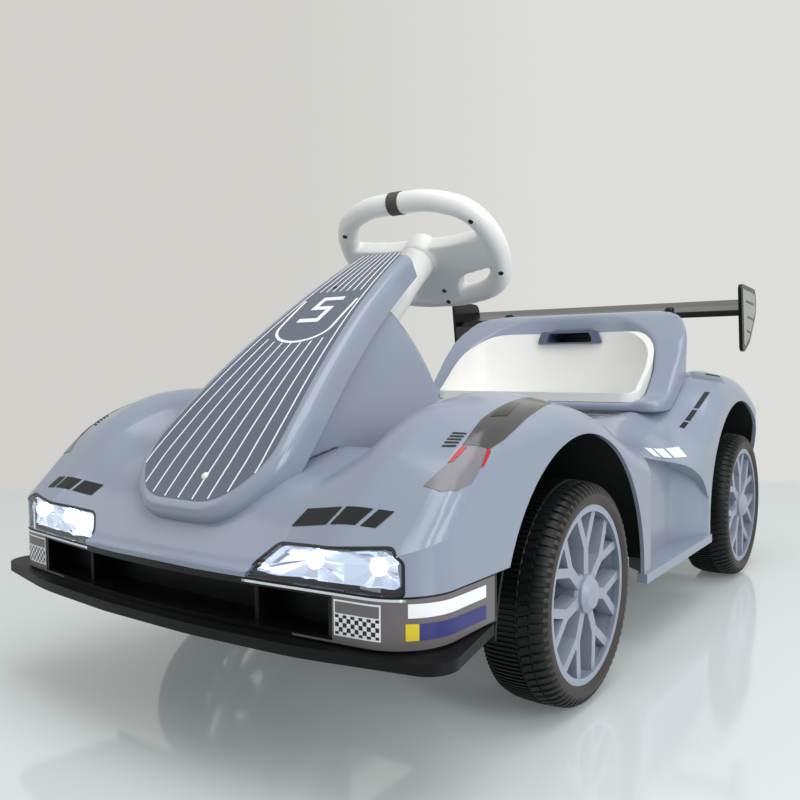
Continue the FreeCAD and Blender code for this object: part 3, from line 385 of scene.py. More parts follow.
def skin_of(name):
    """A tree for finding places on one of the frame's pieces, or on a piece made here."""
    if name not in SKINS:
        mesh = NODES[name].data if name in NODES else bpy.data.objects[name].data
        SKINS[name] = BVHTree.FromPolygons([v.co.copy() for v in mesh.vertices],
                                           [tuple(p.vertices) for p in mesh.polygons])
    return SKINS[name]


def pressed(nodes, start, direction, reach, lift):
    """The first place where a ray meets some pieces, lifted off their skin, or None if it misses them."""
    hits = [skin_of(n).ray_cast(start, direction) for n in nodes]
    hits = [h for h in hits if h[0] is not None and h[3] < reach]
    if not hits:
        return None
    place, normal, _, _ = min(hits, key=lambda h: h[3])
    return place + (normal if normal.dot(direction) < 0 else -normal) * lift * MM


def turned(shape, centre, axis, profile, steps=20):
    """Spins a profile of (radius, height) in millimetres about an axis."""
    side = axis.orthogonal().normalized()
    line = [shape.verts.new(centre + side * radius * MM + axis * height * MM) for radius, height in profile]
    edges = [shape.edges.new(pair) for pair in zip(line, line[1:])]
    bmesh.ops.spin(shape, geom=line + edges, cent=centre, axis=axis, angle=2 * math.pi, steps=steps, use_merge=True)
    bmesh.ops.remove_doubles(shape, verts=shape.verts, dist=1e-6)


def stud(name, on, place, profile, finish, body="kart", axis=None):
    """A turned detail that sits on the nearest skin and looks along its normal, unless an axis is given."""
    spot, normal, _, _ = skin_of(on).find_nearest(Vector(place) * MM)
    axis = normal.normalized() if axis is None else Vector(axis).normalized()
    shape = bmesh.new()
    turned(shape, spot, axis, profile)
    settle(finish_shape(shape, name, smooth=True, angle=40), finish, body)


SCREW_HOLE = [(2.9, -0.3), (2.7, 0.25), (2.3, 0.35), (1.9, 0.2), (0.0, 0.18)]
DOMED_CAP = [(3.4, -0.4), (3.4, 0.4), (2.8, 1.3), (1.5, 1.9), (0.0, 2.1)]
WHEEL_SCREWS = [(-82.3, -159.2, 451.4), (85.7, -158.7, 450.8), (10.8, -130.6, 417.0), (93.4, -108.2, 401.3),
                (11.8, -95.4, 387.4), (10.6, -84.0, 376.0)]
# Screw holes are dark discs with a thin ring: painted shade stands for each hole.
screw_shade = material("painted_screw_hole_shade", Base_Color=srgb("#141414"), Roughness=0.5)[0]
for i, place in enumerate(WHEEL_SCREWS):
    stud(f"wheel_screw_{i}", "soft_steering_wheel", place, SCREW_HOLE, screw_shade, body="steering")
print(len(WHEEL_SCREWS), "screws in the steering wheel")

# %% [markdown]
# A ribbed rubber band marks the top of the steering wheel. Its profile is a row of low crests, turned about
# the line that the grip's tube follows there.

# %% Band on the steering wheel
WHEEL_TOP = Vector((0, -169.4, 478.4)) * MM
GRIP_RADIUS, BAND_HALF, BAND_RIBS = 12.0, 7.5, 6
BAND_FOOT, BAND_GROOVE, BAND_CREST = GRIP_RADIUS - 0.6, GRIP_RADIUS + 0.25, GRIP_RADIUS + 0.7
# One rib: its share of the pitch, and the radius there
RIB_SHAPE = [(0.1, BAND_GROOVE), (0.3, BAND_CREST), (0.7, BAND_CREST), (0.9, BAND_GROOVE)]
band_rubber = moulded("grip_band_dark_grey", "#4B4845", 0.6)
pitch = 2 * BAND_HALF / BAND_RIBS
band_profile = [(BAND_FOOT, -BAND_HALF)]
for i in range(BAND_RIBS):
    band_profile += [(radius, -BAND_HALF + pitch * (i + share)) for share, radius in RIB_SHAPE]
band_profile.append((BAND_FOOT, BAND_HALF))
band = bmesh.new()
turned(band, WHEEL_TOP, Vector((1, 0, 0)), band_profile, steps=40)
settle(finish_shape(band, "wheel_band", smooth=True, angle=30), band_rubber, "steering")
print("band with", BAND_RIBS, "ribs")

# %% [markdown]
# The column is a white sleeve that widens to a collar under the wheel. It is turned about the column's own
# slanted line, with the bore for the steering rod left open.

# %% Column sleeve
HUB = Vector((0, -122, 431)) * MM
COLUMN_TILT = math.radians(45)
DOWN_COLUMN = Vector((0, -math.sin(COLUMN_TILT), -math.cos(COLUMN_TILT)))
SLEEVE_PROFILE = [(5.4, 16.4), (19.0, 16.4), (20.6, 18.0), (20.8, 24.0), (19.4, 36.0), (18.6, 60.0),
                  (17.6, 112.0), (16.8, 115.5), (5.4, 115.5)]
sleeve = bmesh.new()
turned(sleeve, HUB, DOWN_COLUMN, SLEEVE_PROFILE, steps=48)
settle(finish_shape(sleeve, "column_sleeve", smooth=True, angle=50), white_plastic, "steering",
       replaced="steering_column")
stud("sleeve_screw", "column_sleeve", (14, -195, 392), SCREW_HOLE, screw_shade, body="steering")
print("sleeve", SLEEVE_PROFILE[-1][1] - SLEEVE_PROFILE[0][1], "mm long")

# %% [markdown]
# The tyres are blow-moulded plastic, so their tread is shallow and all in one skin: fine ribs across the
# inner half, a parting ridge, a band of small blocks, and shoulder blocks that wrap over the edge. Each
# tyre is one turned profile with the blocks set on it.

# %% Tyre profile
TYRE_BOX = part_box("tyre_front_left")
TYRE_RADIUS = (TYRE_BOX[1][2] - TYRE_BOX[0][2]) / 2
TYRE_HALF = (TYRE_BOX[1][0] - TYRE_BOX[0][0]) / 2
BEAD_RADIUS = 79.2 * MM
TREAD_DEPTH = 1.5 * MM
CROWN_HALF, CROWN_DROP, SHOULDER = 19 * MM, 1.0 * MM, 13 * MM
RIDGE_ACROSS, RIDGE_HALF, RIDGE_SINK = 8 * MM, 0.8 * MM, 0.2 * MM
PROFILE_STEPS, TURN_STEPS = 22, 144
# The beads: millimetres in from the tyre's side and out from the bead's radius
INNER_BEAD = [(2, 0), (0.3, 4)]
OUTER_BEAD = [(0.1, 5), (0.9, 1.6), (2.4, 0)]


def crown(across):
    """Radius of the tread's outer skin at a place across the tyre."""
    out = abs(across)
    if out <= CROWN_HALF:
        return TYRE_RADIUS - CROWN_DROP * (out / CROWN_HALF) ** 2
    over = min(1.0, (out - CROWN_HALF) / (TYRE_HALF - CROWN_HALF))
    return TYRE_RADIUS - CROWN_DROP - SHOULDER * (1 - math.sqrt(max(0.0, 1 - over * over)))


def tyre_profile():
    """Half section of the tyre as (across, radius), from the inner bead over the crown to the outer bead."""
    points = [(-TYRE_HALF + side * MM, BEAD_RADIUS + up * MM) for side, up in INNER_BEAD]
    for i in range(PROFILE_STEPS + 1):
        across = -TYRE_HALF * math.cos(math.pi * i / PROFILE_STEPS)
        points.append((across, crown(across) - TREAD_DEPTH))
    for side in (-1, 1):
        points.append((RIDGE_ACROSS + side * RIDGE_HALF, crown(RIDGE_ACROSS) - TREAD_DEPTH))
    points.append((RIDGE_ACROSS, crown(RIDGE_ACROSS) - RIDGE_SINK))
    points.sort(key=lambda p: p[0])
    return points + [(TYRE_HALF - side * MM, BEAD_RADIUS + up * MM) for side, up in OUTER_BEAD]


print("tyre", round(2 * TYRE_RADIUS / MM), "mm across")

# %% [markdown]
# A tread block is a short prism with sloping sides that runs across the tyre, in a few rows so that it can
# bend over the shoulder. Three kinds of block, each repeated round the tyre, make the tread.

# %% Tread
BLOCK_ROOT = -TREAD_DEPTH * 1.3
BLOCK_DRAFT, BLOCK_PINCH = 0.14, 0.5 * MM
WALL_STARTS = TYRE_RADIUS - 7 * MM
# Each kind: how many, start and end across the tyre, width and skew as shares of the pitch, rows, and turn
BLOCK_KINDS = [
    (132, -TYRE_HALF + 5 * MM, RIDGE_ACROSS - 1.2 * MM, 0.52, 0.3, 4, 0.0),
    (72, RIDGE_ACROSS + 1.4 * MM, RIDGE_ACROSS + 10.5 * MM, 0.78, 0.35, 2, 0.0),
    (72, RIDGE_ACROSS + 11.5 * MM, TYRE_HALF - 0.6 * MM, 0.6, 0.1, 5, 0.5),
]
tread_rubber = moulded("tyre_tread_black", "#101314", 0.44, grain=0.25, ior=1.36)
wall_rubber = moulded("tyre_wall_brown_black", "#38322F", 0.5, grain=0.5)


def tread_block(shape, place, start, end, middle, width, rows, skew):
    """A raised block: start and end across the tyre, middle and width round it, in radians."""
    rings = []
    draft = BLOCK_DRAFT * width
    for i in range(rows + 1):
        share = i / rows
        across = start + (end - start) * share
        top = across + (BLOCK_PINCH if i == 0 else -BLOCK_PINCH if i == rows else 0.0)
        turn = middle + skew * (share - 0.5)
        rings.append([shape.verts.new(p) for p in (
            place(across, turn - width / 2, BLOCK_ROOT), place(top, turn - width / 2 + draft, 0),
            place(top, turn + width / 2 - draft, 0), place(across, turn + width / 2, BLOCK_ROOT))])
    for a, b in zip(rings, rings[1:]):
        for j in range(4):
            shape.faces.new((a[j], a[(j + 1) % 4], b[(j + 1) % 4], b[j]))
    shape.faces.new(rings[0])
    shape.faces.new(rings[-1])


def make_tyre(corner):
    """A turned tyre with its tread, in place of the frame's plain one."""
    low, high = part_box("tyre_" + corner)
    centre = (Vector(low) + Vector(high)) / 2
    side = 1 if centre.x > 0 else -1
    shape = bmesh.new()
    line = [shape.verts.new(centre + Vector((side * across, 0, radius))) for across, radius in tyre_profile()]
    edges = [shape.edges.new(pair) for pair in zip(line, line[1:] + line[:1])]
    bmesh.ops.spin(shape, geom=line + edges, cent=centre, axis=(1, 0, 0), angle=2 * math.pi, steps=TURN_STEPS,
                   use_merge=True)
    bmesh.ops.recalc_face_normals(shape, faces=shape.faces)
    for face in shape.faces:
        face.material_index = int((face.calc_center_median() - centre).yz.length < WALL_STARTS)

    def place(across, turn, lift):
        """A place on the tread, from across the tyre, round it and above its skin."""
        radius = crown(across) + lift
        return centre + Vector((side * across, radius * math.sin(turn), radius * math.cos(turn)))

    for count, start, end, width, skew, rows, shift in BLOCK_KINDS:
        pitch = 2 * math.pi / count
        for i in range(count):
            tread_block(shape, place, start, end, (i + shift) * pitch, pitch * width, rows, side * pitch * skew)
    tyre = finish_shape(shape, "treaded_tyre_" + corner, smooth=True, angle=32)
    settle(tyre, tread_rubber, "wheel_" + corner, replaced="tyre_" + corner)
    tyre.data.materials.append(wall_rubber)
    print(tyre.name, len(tyre.data.polygons), "faces")


for corner in ("front_left", "front_right", "rear_left", "rear_right"):
    make_tyre(corner)

# %% [markdown]
# The nose cowl is a thick moulded tongue. It is drawn flat, given its rolled edge there, cut into narrow
# strips and bent onto the arc that its top follows. The film and its pinstripes are drawn in the same flat
# space, so they lie on it exactly.

# %% Flat space of the cowl
COWL_ARC = [(-472, 201), (-354, 313), (-195, 422)]
# Half width, place along the kart and corner radius
COWL_OUTLINE = [(38, -195, 16), (56, -300, 500), (79, -406, 300), (86, -446, 70), (50, -482, 66)]
COWL_TIP_Y, COWL_STRIP = -470, 6


def circle_through(points):
    """Centre and radius of the circle through three points."""
    (ax, ay), (bx, by), (cx, cy) = points
    d = 2 * (ax * (by - cy) + bx * (cy - ay) + cx * (ay - by))
    a2, b2, c2 = ax * ax + ay * ay, bx * bx + by * by, cx * cx + cy * cy
    centre = ((a2 * (by - cy) + b2 * (cy - ay) + c2 * (ay - by)) / d,
              (a2 * (cx - bx) + b2 * (ax - cx) + c2 * (bx - ax)) / d)
    return centre, math.hypot(ax - centre[0], ay - centre[1])


(COWL_Y, COWL_Z), COWL_RADIUS = circle_through(COWL_ARC)


def cowl_turn(y):
    """Angle on the cowl's arc at a place along the kart."""
    return math.acos((y - COWL_Y) / COWL_RADIUS)


COWL_START = cowl_turn(COWL_ARC[2][0])
COWL_SIGN = 1 if COWL_Z < COWL_ARC[1][1] else -1


def cowl_length(y):
    """Distance along the cowl's top from its rear end, in millimetres."""
    return (cowl_turn(y) - COWL_START) * COWL_RADIUS


def bend(x, along, lift):
    """From flat space, in millimetres, to the kart's frame in metres."""
    turn = COWL_START + along / COWL_RADIUS
    radius = COWL_RADIUS + COWL_SIGN * lift
    return Vector((x, COWL_Y + radius * math.cos(turn), COWL_Z + COWL_SIGN * radius * math.sin(turn))) * MM


def bend_shape(shape):
    """Bends a whole flat shape onto the arc."""
    for vert in shape.verts:
        vert.co = bend(*vert.co)


print("cowl's arc has a radius of", round(COWL_RADIUS), "mm")

# %% [markdown]
# An outline with rounded corners is a list of points, each with its radius. One function turns the corners
# into arcs, and serves the cowl here and the lamps and the handle slot later.

# %% Outlines
CORNER_REACH, STRAIGHT_ENOUGH = 0.47, 0.02
TIP_MARGIN_SHARE, TOP_CORNER = 0.55, 2


def rounded(points, steps=8):
    """A closed outline of (x, y, corner radius) with its corners turned into arcs."""
    made = []
    for i, (x, y, radius) in enumerate(points):
        here = Vector((x, y))
        back = Vector(points[i - 1][:2]) - here
        ahead = Vector(points[(i + 1) % len(points)][:2]) - here
        bend_angle = math.pi - back.angle(ahead)
        if radius == 0 or bend_angle < STRAIGHT_ENOUGH:
            made.append(here)
            continue
        reach = min(radius * math.tan(bend_angle / 2), CORNER_REACH * back.length, CORNER_REACH * ahead.length)
        first, last = here + back.normalized() * reach, here + ahead.normalized() * reach
        for j in range(steps + 1):
            t = j / steps
            made.append(first * (1 - t) ** 2 + here * 2 * t * (1 - t) + last * t * t)
    return made


def cowl_outline(margin, top_margin):
    """The cowl's outline in flat space, drawn in by a margin."""
    side = []
    for half, y, radius in COWL_OUTLINE:
        along = cowl_length(y)
        tip = along > cowl_length(COWL_TIP_Y)
        side.append((half - margin * (TIP_MARGIN_SHARE if tip else 1.0), along - (margin if tip else 0), radius))
    side[0] = (side[0][0], side[0][1] + top_margin, side[0][2] if margin == 0 else TOP_CORNER)
    return rounded(side + [(-x, y, r) for x, y, r in reversed(side)])


def flat_sheet(outline, lift=0.0):
    """A flat outline as one face."""
    shape = bmesh.new()
    shape.faces.new([shape.verts.new((p.x, p.y, lift)) for p in outline])
    return shape


def cut_strips(shape, axis, step, first):
    """Cuts a flat shape every step along an axis from first on, so that it can be bent."""
    end = max(v.co[axis] for v in shape.verts)
    at = first
    while at < end:
        spot, normal = [0, 0, 0], [0, 0, 0]
        spot[axis], normal[axis] = at, 1
        cut_through(shape, spot, normal)
        at += step


def cut_cowl_strips(shape):
    """Cuts a flat piece of the cowl into its strips."""
    cut_strips(shape, 1, COWL_STRIP, math.ceil(min(v.co.y for v in shape.verts) / COWL_STRIP) * COWL_STRIP)


# %% [markdown]
# The cowl itself: its flat outline is extruded down, the top rim is bevelled to a rolled edge, and the whole
# is cut into strips and bent.

# %% Nose cowl
COWL_THICKNESS, COWL_ROLL, ROLL_SEGMENTS, FLAT = 26, 10, 6, 1e-3
cowl = flat_sheet(cowl_outline(0, 0))
lower = moved_part(bmesh.ops.extrude_face_region(cowl, geom=cowl.faces[:]))
bmesh.ops.translate(cowl, verts=lower, vec=(0, 0, -COWL_THICKNESS))
rim = [e for e in cowl.edges if all(abs(v.co.z) < FLAT for v in e.verts)]
bmesh.ops.bevel(cowl, geom=rim, offset=COWL_ROLL, affect="EDGES", segments=ROLL_SEGMENTS, profile=0.5, material=-1,
                clamp_overlap=True)
cut_cowl_strips(cowl)
bend_shape(cowl)
cowl = finish_shape(cowl, "rolled_edge_cowl", smooth=True, angle=35)
settle(cowl, body_plastic, "kart", replaced="nose_cowl")
print("cowl", len(cowl.data.polygons), "faces")

# %% [markdown]
# The film is a slate print with a fine weave. It is the cowl's outline again, drawn in by a margin and laid
# a quarter of a millimetre above the plastic.

# %% Film on the cowl
FILM_MARGIN, FILM_TOP_MARGIN, FILM_LIFT = 12, 2, 0.25
PRINT_IOR, WEAVE_PER_METRE = 1.46, 620.0


def printed(name, colour, roughness=0.32):
    """Ink or vinyl, or painted shade: an even colour under a slight gloss."""
    return material(name, Base_Color=srgb(colour), Roughness=roughness, IOR=PRINT_IOR)[0]


def checked(name, roughness, first, second, per_metre, keep=(1, 1, 1), shift=(0, 0, 0)):
    """A print of squares in two colours; keep leaves out a direction, and shift moves the squares."""
    made, tree, shader = material(name, Roughness=roughness, IOR=PRINT_IOR)
    place = add(tree, "ShaderNodeTexCoord").outputs["Object"]
    flat = add(tree, "ShaderNodeVectorMath", {0: place}, operation="MULTIPLY")
    flat.inputs[1].default_value = keep
    moved = add(tree, "ShaderNodeVectorMath", {0: flat.outputs[0]}, operation="ADD")
    moved.inputs[1].default_value = shift
    squares = add(tree, "ShaderNodeTexChecker", {"Vector": moved.outputs[0]}, Scale=per_metre, Color1=srgb(first),
                  Color2=srgb(second))
    tree.links.new(squares.outputs["Color"], shader.inputs["Base Color"])
    return made


def cowl_print(name, shape, finish):
    """Bends a flat print onto the cowl and makes a piece of it."""
    bend_shape(shape)
    settle(finish_shape(shape, name, smooth=True), finish, "kart")
    print("printed", name)


white_ink = printed("white_ink", "#F2F4F7")
# Black ink serves the printed bars and slots, and the painted shade of the slot on each rear fender.
black_ink_and_painted_slot_shade = printed("black_ink_and_painted_slot_shade", "#06080B", 0.5)
film = flat_sheet(cowl_outline(FILM_MARGIN, FILM_TOP_MARGIN), FILM_LIFT)
cut_cowl_strips(film)
cowl_print("cowl_film", film, checked("slate_print", 0.34, "#646D7D", "#545C6B", WEAVE_PER_METRE))

# %% [markdown]
# White pinstripes close up towards the driver, because each keeps its share of the film's width. They end
# where the film's round tip does, and the inner ones leave a gap for the number's panel.

# %% Pinstripes
STRIPES, STRIPE_WIDTH, STRIPE_SPREAD, WHOLE_FROM = 9, 1.7, 0.9, 0.85
STRIPE_TOP, STRIPE_BOTTOM, END_DROP, END_POWER = 3, 1, 44, 3.6
PANEL_TOP, PANEL_BOTTOM = cowl_length(-268), cowl_length(-338)
PANEL_CLEARANCE, PANEL_ROUND = 2, 16


def film_half(along):
    """Half width of the film at a distance along the cowl."""
    points = [(cowl_length(y), half) for half, y, _ in COWL_OUTLINE[:4]]
    for (a, wide_a), (b, wide_b) in zip(points, points[1:]):
        if along <= b:
            return wide_a + (wide_b - wide_a) * (along - a) / (b - a) - FILM_MARGIN
    return points[-1][1] - FILM_MARGIN


def split(a, b, least):
    """Points from a to b in flat space, about a strip apart."""
    a, b = Vector(a), Vector(b)
    count = max(least, round((b - a).length / COWL_STRIP))
    return [a.lerp(b, j / count) for j in range(count + 1)]


def ribbon(shape, points, width, lift=FILM_LIFT * 2):
    """A flat stroke of even width along points in flat space."""
    left, right = [], []
    for i, here in enumerate(points):
        way = (points[min(i + 1, len(points) - 1)] - points[max(i - 1, 0)]).normalized()
        off = Vector((-way.y, way.x)) * width / 2
        left.append(shape.verts.new((*(here + off), lift)))
        right.append(shape.verts.new((*(here - off), lift)))
    for i in range(len(points) - 1):
        shape.faces.new((left[i], left[i + 1], right[i + 1], right[i]))


stripes = bmesh.new()
top = cowl_length(COWL_OUTLINE[0][1]) + STRIPE_TOP
bottom = cowl_length(COWL_OUTLINE[-1][1]) - FILM_MARGIN - STRIPE_BOTTOM
for i in range(STRIPES):
    share = STRIPE_SPREAD * (2 * i / (STRIPES - 1) - 1)
    end = bottom - END_DROP * abs(share) ** END_POWER
    gap = PANEL_BOTTOM + PANEL_CLEARANCE - PANEL_ROUND * share * share
    for a, b in [(top, PANEL_TOP), (gap, end)] if abs(share) < WHOLE_FROM else [(top, end)]:
        ribbon(stripes, [Vector((share * film_half(p.y), p.y)) for p in split((0, a), (0, b), 2)], STRIPE_WIDTH)
cowl_print("cowl_pinstripes", stripes, white_ink)

# %% [markdown]
# The racing number stands in a panel with a round foot. Both are strokes of even width: the panel's line
# follows a half circle, and the digit is five straight strokes that overlap at their corners.

# %% Racing number
PANEL_SHARE, PANEL_FOOT, PANEL_OPEN, PANEL_LINE, FOOT_STEPS = 0.74, 24, 16, 3.2, 18
DIGIT = [(13, 0), (-9, 0), (-11, 17), (9, 17), (7, 38), (-15, 38)]
DIGIT_TOP, DIGIT_STROKE, DIGIT_OVERLAP = 14, 6.2, 2.6
marks = bmesh.new()
half = film_half((PANEL_TOP + PANEL_BOTTOM) / 2) * PANEL_SHARE
corners = [(half * math.cos(t), PANEL_BOTTOM - PANEL_FOOT + PANEL_FOOT * math.sin(t))
           for t in (math.pi * j / FOOT_STEPS for j in range(FOOT_STEPS + 1))]
corners = [(half, PANEL_TOP + PANEL_OPEN)] + corners + [(-half, PANEL_TOP + PANEL_OPEN)]
line = [p for a, b in zip(corners, corners[1:]) for p in split(a, b, 1)[:-1]]
ribbon(marks, line + [Vector(corners[-1])], PANEL_LINE)
for a, b in zip(DIGIT, DIGIT[1:]):
    a, b = (Vector((x, y + PANEL_TOP + DIGIT_TOP)) for x, y in (a, b))
    more = (b - a).normalized() * DIGIT_OVERLAP
    stroke = split(a, b, 2)
    ribbon(marks, [(a - more).lerp(b + more, j / (len(stroke) - 1)) for j in range(len(stroke))], DIGIT_STROKE)
cowl_print("cowl_number", marks, white_ink)

# %% [markdown]
# A white domed cap closes the screw hole at the cowl's tip. Above the number, a dark disc of painted shade
# stands for an open hole.

# %% Cap and hole in the cowl
stud("cowl_cap", "cowl_film", (14.8, -458.0, 216.5), DOMED_CAP, white_plastic, axis=(0, -0.75, 0.66))
stud("cowl_hole", "cowl_film", (-13, -260, 382), SCREW_HOLE, screw_shade, axis=(0, -0.55, 0.83))
print("cap", round(2 * DOMED_CAP[0][0], 1), "mm across")

# %% [markdown]
# Behind its clear cover each headlamp has a metallised bowl pressed into two fans of flat facets, with a
# bright lens in the middle of each. The bowl starts as its flat outline in the front view. Planes through
# each lens cut it into spokes, every second spoke is pushed in, and its rim is drawn forward to the cover.

# %% Lamp bowls
LAMP_RIM = [(100, 157.6, 2), (103, 164, 8), (114, 174.6, 12), (208, 181.4, 8), (214.5, 175, 6), (214.5, 157.6, 2)]
LENSES = [(148, 169.5), (199, 170.5)]
LENS_PROFILE = [(6.0, -1.5), (5.8, 0.4), (4.8, 0.9), (4.2, 2.2), (2.8, 3.4), (0.0, 3.9)]
LENS_SET_BACK, FAN_BORDER, SPOKES = 6, 173.5, 14
BOWL_DEPTH, DISH_DEPTH, DISH_REACH, RELIEF, RELIEF_REACH, RIM_GAP = 4.5, 3.5, 26, 1.2, 8, 0.4
# Where a point of the outline misses the frame's reflector: a step towards the lamp's middle, or a fixed place
LAMP_MIDDLE, STEP_IN, NOSE_Y = 160, 2.5, -478
RAY_START, RAY_REACH = -600, 0.25
# The lenses glow as lamps do that are switched on; the bowl's faint glow is painted light on the mirror
led_light = material("led_white", Base_Color=srgb("#F4F8FF"), Emission_Color=srgb("#EAF1FF"),
                     Emission_Strength=5.0)[0]
facet_mirror_painted_glow = material("metallised_facets_painted_glow", Base_Color=srgb("#EDF1F8"), Metallic=1.0, Roughness=0.16,
                        Emission_Color=srgb("#DCE6FF"), Emission_Strength=0.22)[0]


def nose_place(nodes, x, z, lift):
    """Place on the nose under a point of the front view, in metres."""
    return pressed(nodes, Vector((x, RAY_START, z)) * MM, Vector((0, 1, 0)), RAY_REACH, lift)


def facet_depth(x, z):
    """How far the bowl lies behind its cover at a point of the front view."""
    lens_x, lens_z = min(LENSES, key=lambda c: math.hypot(c[0] - x, c[1] - z))
    reach = math.hypot(lens_x - x, lens_z - z)
    spoke = round(math.atan2(z - lens_z, x - lens_x) / (2 * math.pi / SPOKES))
    push = (RELIEF if spoke % 2 else -RELIEF) * min(1.0, reach / RELIEF_REACH)
    return BOWL_DEPTH + DISH_DEPTH * max(0.0, 1 - reach / DISH_REACH) + push


def lamp_bowl(side, way):
    """Fans of facets round two lenses, with a wall up to the cover."""
    node = "headlamp_reflector_" + side
    shape = flat_sheet(rounded(LAMP_RIM, steps=5))
    cut_through(shape, (FAN_BORDER, 0, 0), (1, 0, 0))
    for i, (x, z) in enumerate(LENSES):
        for j in range(SPOKES // 2):
            turn = math.pi * (j + 0.5) / (SPOKES // 2)
            fan = [f for f in shape.faces if (f.calc_center_median().x < FAN_BORDER) == (i == 0)]
            cut_through(shape, (x, z, 0), (math.cos(turn), math.sin(turn), 0), fan)
    for vert in shape.verts:
        x, z, _ = vert.co
        front = (nose_place([node], way * x, z, 0)
                 or nose_place([node], way * (x - math.copysign(STEP_IN, x - LAMP_MIDDLE)), z, 0)
                 or Vector((way * x, NOSE_Y, z)) * MM)
        vert.co = (way * x * MM, front.y + facet_depth(x, z) * MM, z * MM)
    wall = [e for e in shape.edges if e.is_boundary]
    for vert in moved_part(bmesh.ops.extrude_edge_only(shape, edges=wall)):
        vert.co.y -= (BOWL_DEPTH - RIM_GAP) * MM
    settle(finish_shape(shape, "lamp_facets_" + side), facet_mirror_painted_glow, "kart", replaced=node)
    for i, (x, z) in enumerate(LENSES):
        lens = bmesh.new()
        turned(lens, nose_place([node], way * x, z, 0) + Vector((0, LENS_SET_BACK * MM, 0)), Vector((0, -1, 0)),
               LENS_PROFILE)
        settle(finish_shape(lens, f"lamp_lens_{side}_{i}", smooth=True, angle=35), led_light, "kart")


SIDES = (("left", 1), ("right", -1))
for side, way in SIDES:
    lamp_bowl(side, way)
    print("bowl of the", side, "lamp")

# %% [markdown]
# A dark band of painted shade, the shadow in the seam between cover and body, runs round each lamp, and a
# bright strip under it. Both are narrow bands between two lines of the front view, laid on the nose point by point.

# %% Painted seam shade and bright strips
SEAM_SHADE_LINE = [(95.5, 154.6, 2), (98, 163, 8), (112, 177, 14), (212, 185, 9), (221, 177, 7), (221, 154.6, 2)]
SEAM_SHADE_HALF, SEAM_SHADE_LIFT, SEAM_SHADE_STEP = 0.9, 0.35, 5
STRIP_START, STRIP_LENGTH, STRIP_Z, STRIP_HEIGHT, STRIP_LIFT, STRIP_PIECES = 94, 128, 152.6, 1.8, 0.8, 32
# The dark band's colour is painted shade for the seam round each lamp.
painted_seam_shade = material("painted_seam_shade_black", Base_Color=srgb("#0C0D10"), Roughness=0.4)[0]


def edge_strip(name, nodes, outer, inner, finish, lift, way):
    """A narrow strip between two outlines of the front view, laid on the nose."""
    shape = bmesh.new()
    rows = []
    for a, b in zip(outer, inner):
        ends = [nose_place(nodes, way * p.x, p.y, lift) for p in (a, b)]
        rows.append(None if None in ends else [shape.verts.new(e) for e in ends])
    for a, b in zip(rows, rows[1:] + rows[:1]):
        if a and b:
            shape.faces.new((a[0], b[0], b[1], a[1]))
    settle(finish_shape(shape, name, smooth=True), finish, "kart")


def dense(outline, step):
    """The outline with points no further apart than step, in millimetres."""
    made = []
    for a, b in zip(outline, outline[1:] + outline[:1]):
        pieces = max(1, math.ceil((b - a).length / step))
        made += [a.lerp(b, i / pieces) for i in range(pieces)]
    return made


def drawn_out(outline, amount):
    """The outline moved away from its middle, point by point, or towards it for a negative amount."""
    middle = sum(outline, Vector((0, 0))) / len(outline)
    made = []
    for i, here in enumerate(outline):
        way = (outline[(i + 1) % len(outline)] - outline[i - 1]).normalized()
        out = Vector((way.y, -way.x))
        made.append(here + out * (amount if out.dot(here - middle) > 0 else -amount))
    return made


around = dense(rounded(SEAM_SHADE_LINE, steps=6), SEAM_SHADE_STEP)
upper = [Vector((STRIP_START + STRIP_LENGTH * i / STRIP_PIECES, STRIP_Z)) for i in range(STRIP_PIECES + 1)]
lower = [p - Vector((0, STRIP_HEIGHT)) for p in upper]
outer, inner = drawn_out(around, SEAM_SHADE_HALF), drawn_out(around, -SEAM_SHADE_HALF)
for side, way in SIDES:
    edge_strip("lamp_painted_seam_shade_" + side, ["body_shell", "headlamp_cover_" + side, "front_bumper"], outer, inner,
               painted_seam_shade, SEAM_SHADE_LIFT, way)
    edge_strip("lamp_bright_strip_" + side, ["front_bumper"], upper, lower, mirror_bowl, STRIP_LIFT, way)
print("painted seam shade of", len(around), "points")

# %% [markdown]
# Printed films on the body are thin sheets laid on the moulded skin. Each is given by real points near
# the surface and the direction in which it is pressed on, and a ray from every point of a fine grid finds
# the skin under it.

# %% Pressing films on
PRESS_FROM, PRESS_REACH, UPRIGHT = 60, 0.2, 0.95


def press_on(name, nodes, outline, inward, finish, lift=0.4, cell=5, slot="body"):
    """A film whose outline is in millimetres, pressed along a direction onto one or more pieces."""
    inward = Vector(inward).normalized()
    across = inward.cross(Vector((0, 0, 1)) if abs(inward.z) < UPRIGHT else Vector((0, 1, 0))).normalized()
    upward = across.cross(inward)
    corners = [Vector(p) for p in outline]
    shape = flat_sheet([Vector((c.dot(across), c.dot(upward))) for c in corners])
    for axis in (0, 1):
        cut_strips(shape, axis, cell, math.floor(min(v.co[axis] for v in shape.verts) / cell + 1) * cell)
    depth = min(c.dot(inward) for c in corners) - PRESS_FROM
    lost = []
    for vert in shape.verts:
        start = (across * vert.co.x + upward * vert.co.y + inward * depth) * MM
        place = pressed(nodes, start, inward, PRESS_REACH, lift)
        if place is None:
            lost.append(vert)
        else:
            vert.co = place
    bmesh.ops.delete(shape, geom=lost, context="VERTS")
    settle(finish_shape(shape, name, smooth=True), finish, "kart")


def both_sides(name, node, outline, inward, finish, **settings):
    """The same film on the left and on the right."""
    press_on(name + "_left", [node], outline, inward, finish, **settings)
    press_on(name + "_right", [node], [(-x, y, z) for x, y, z in outline], (-inward[0], *inward[1:]), finish,
             **settings)
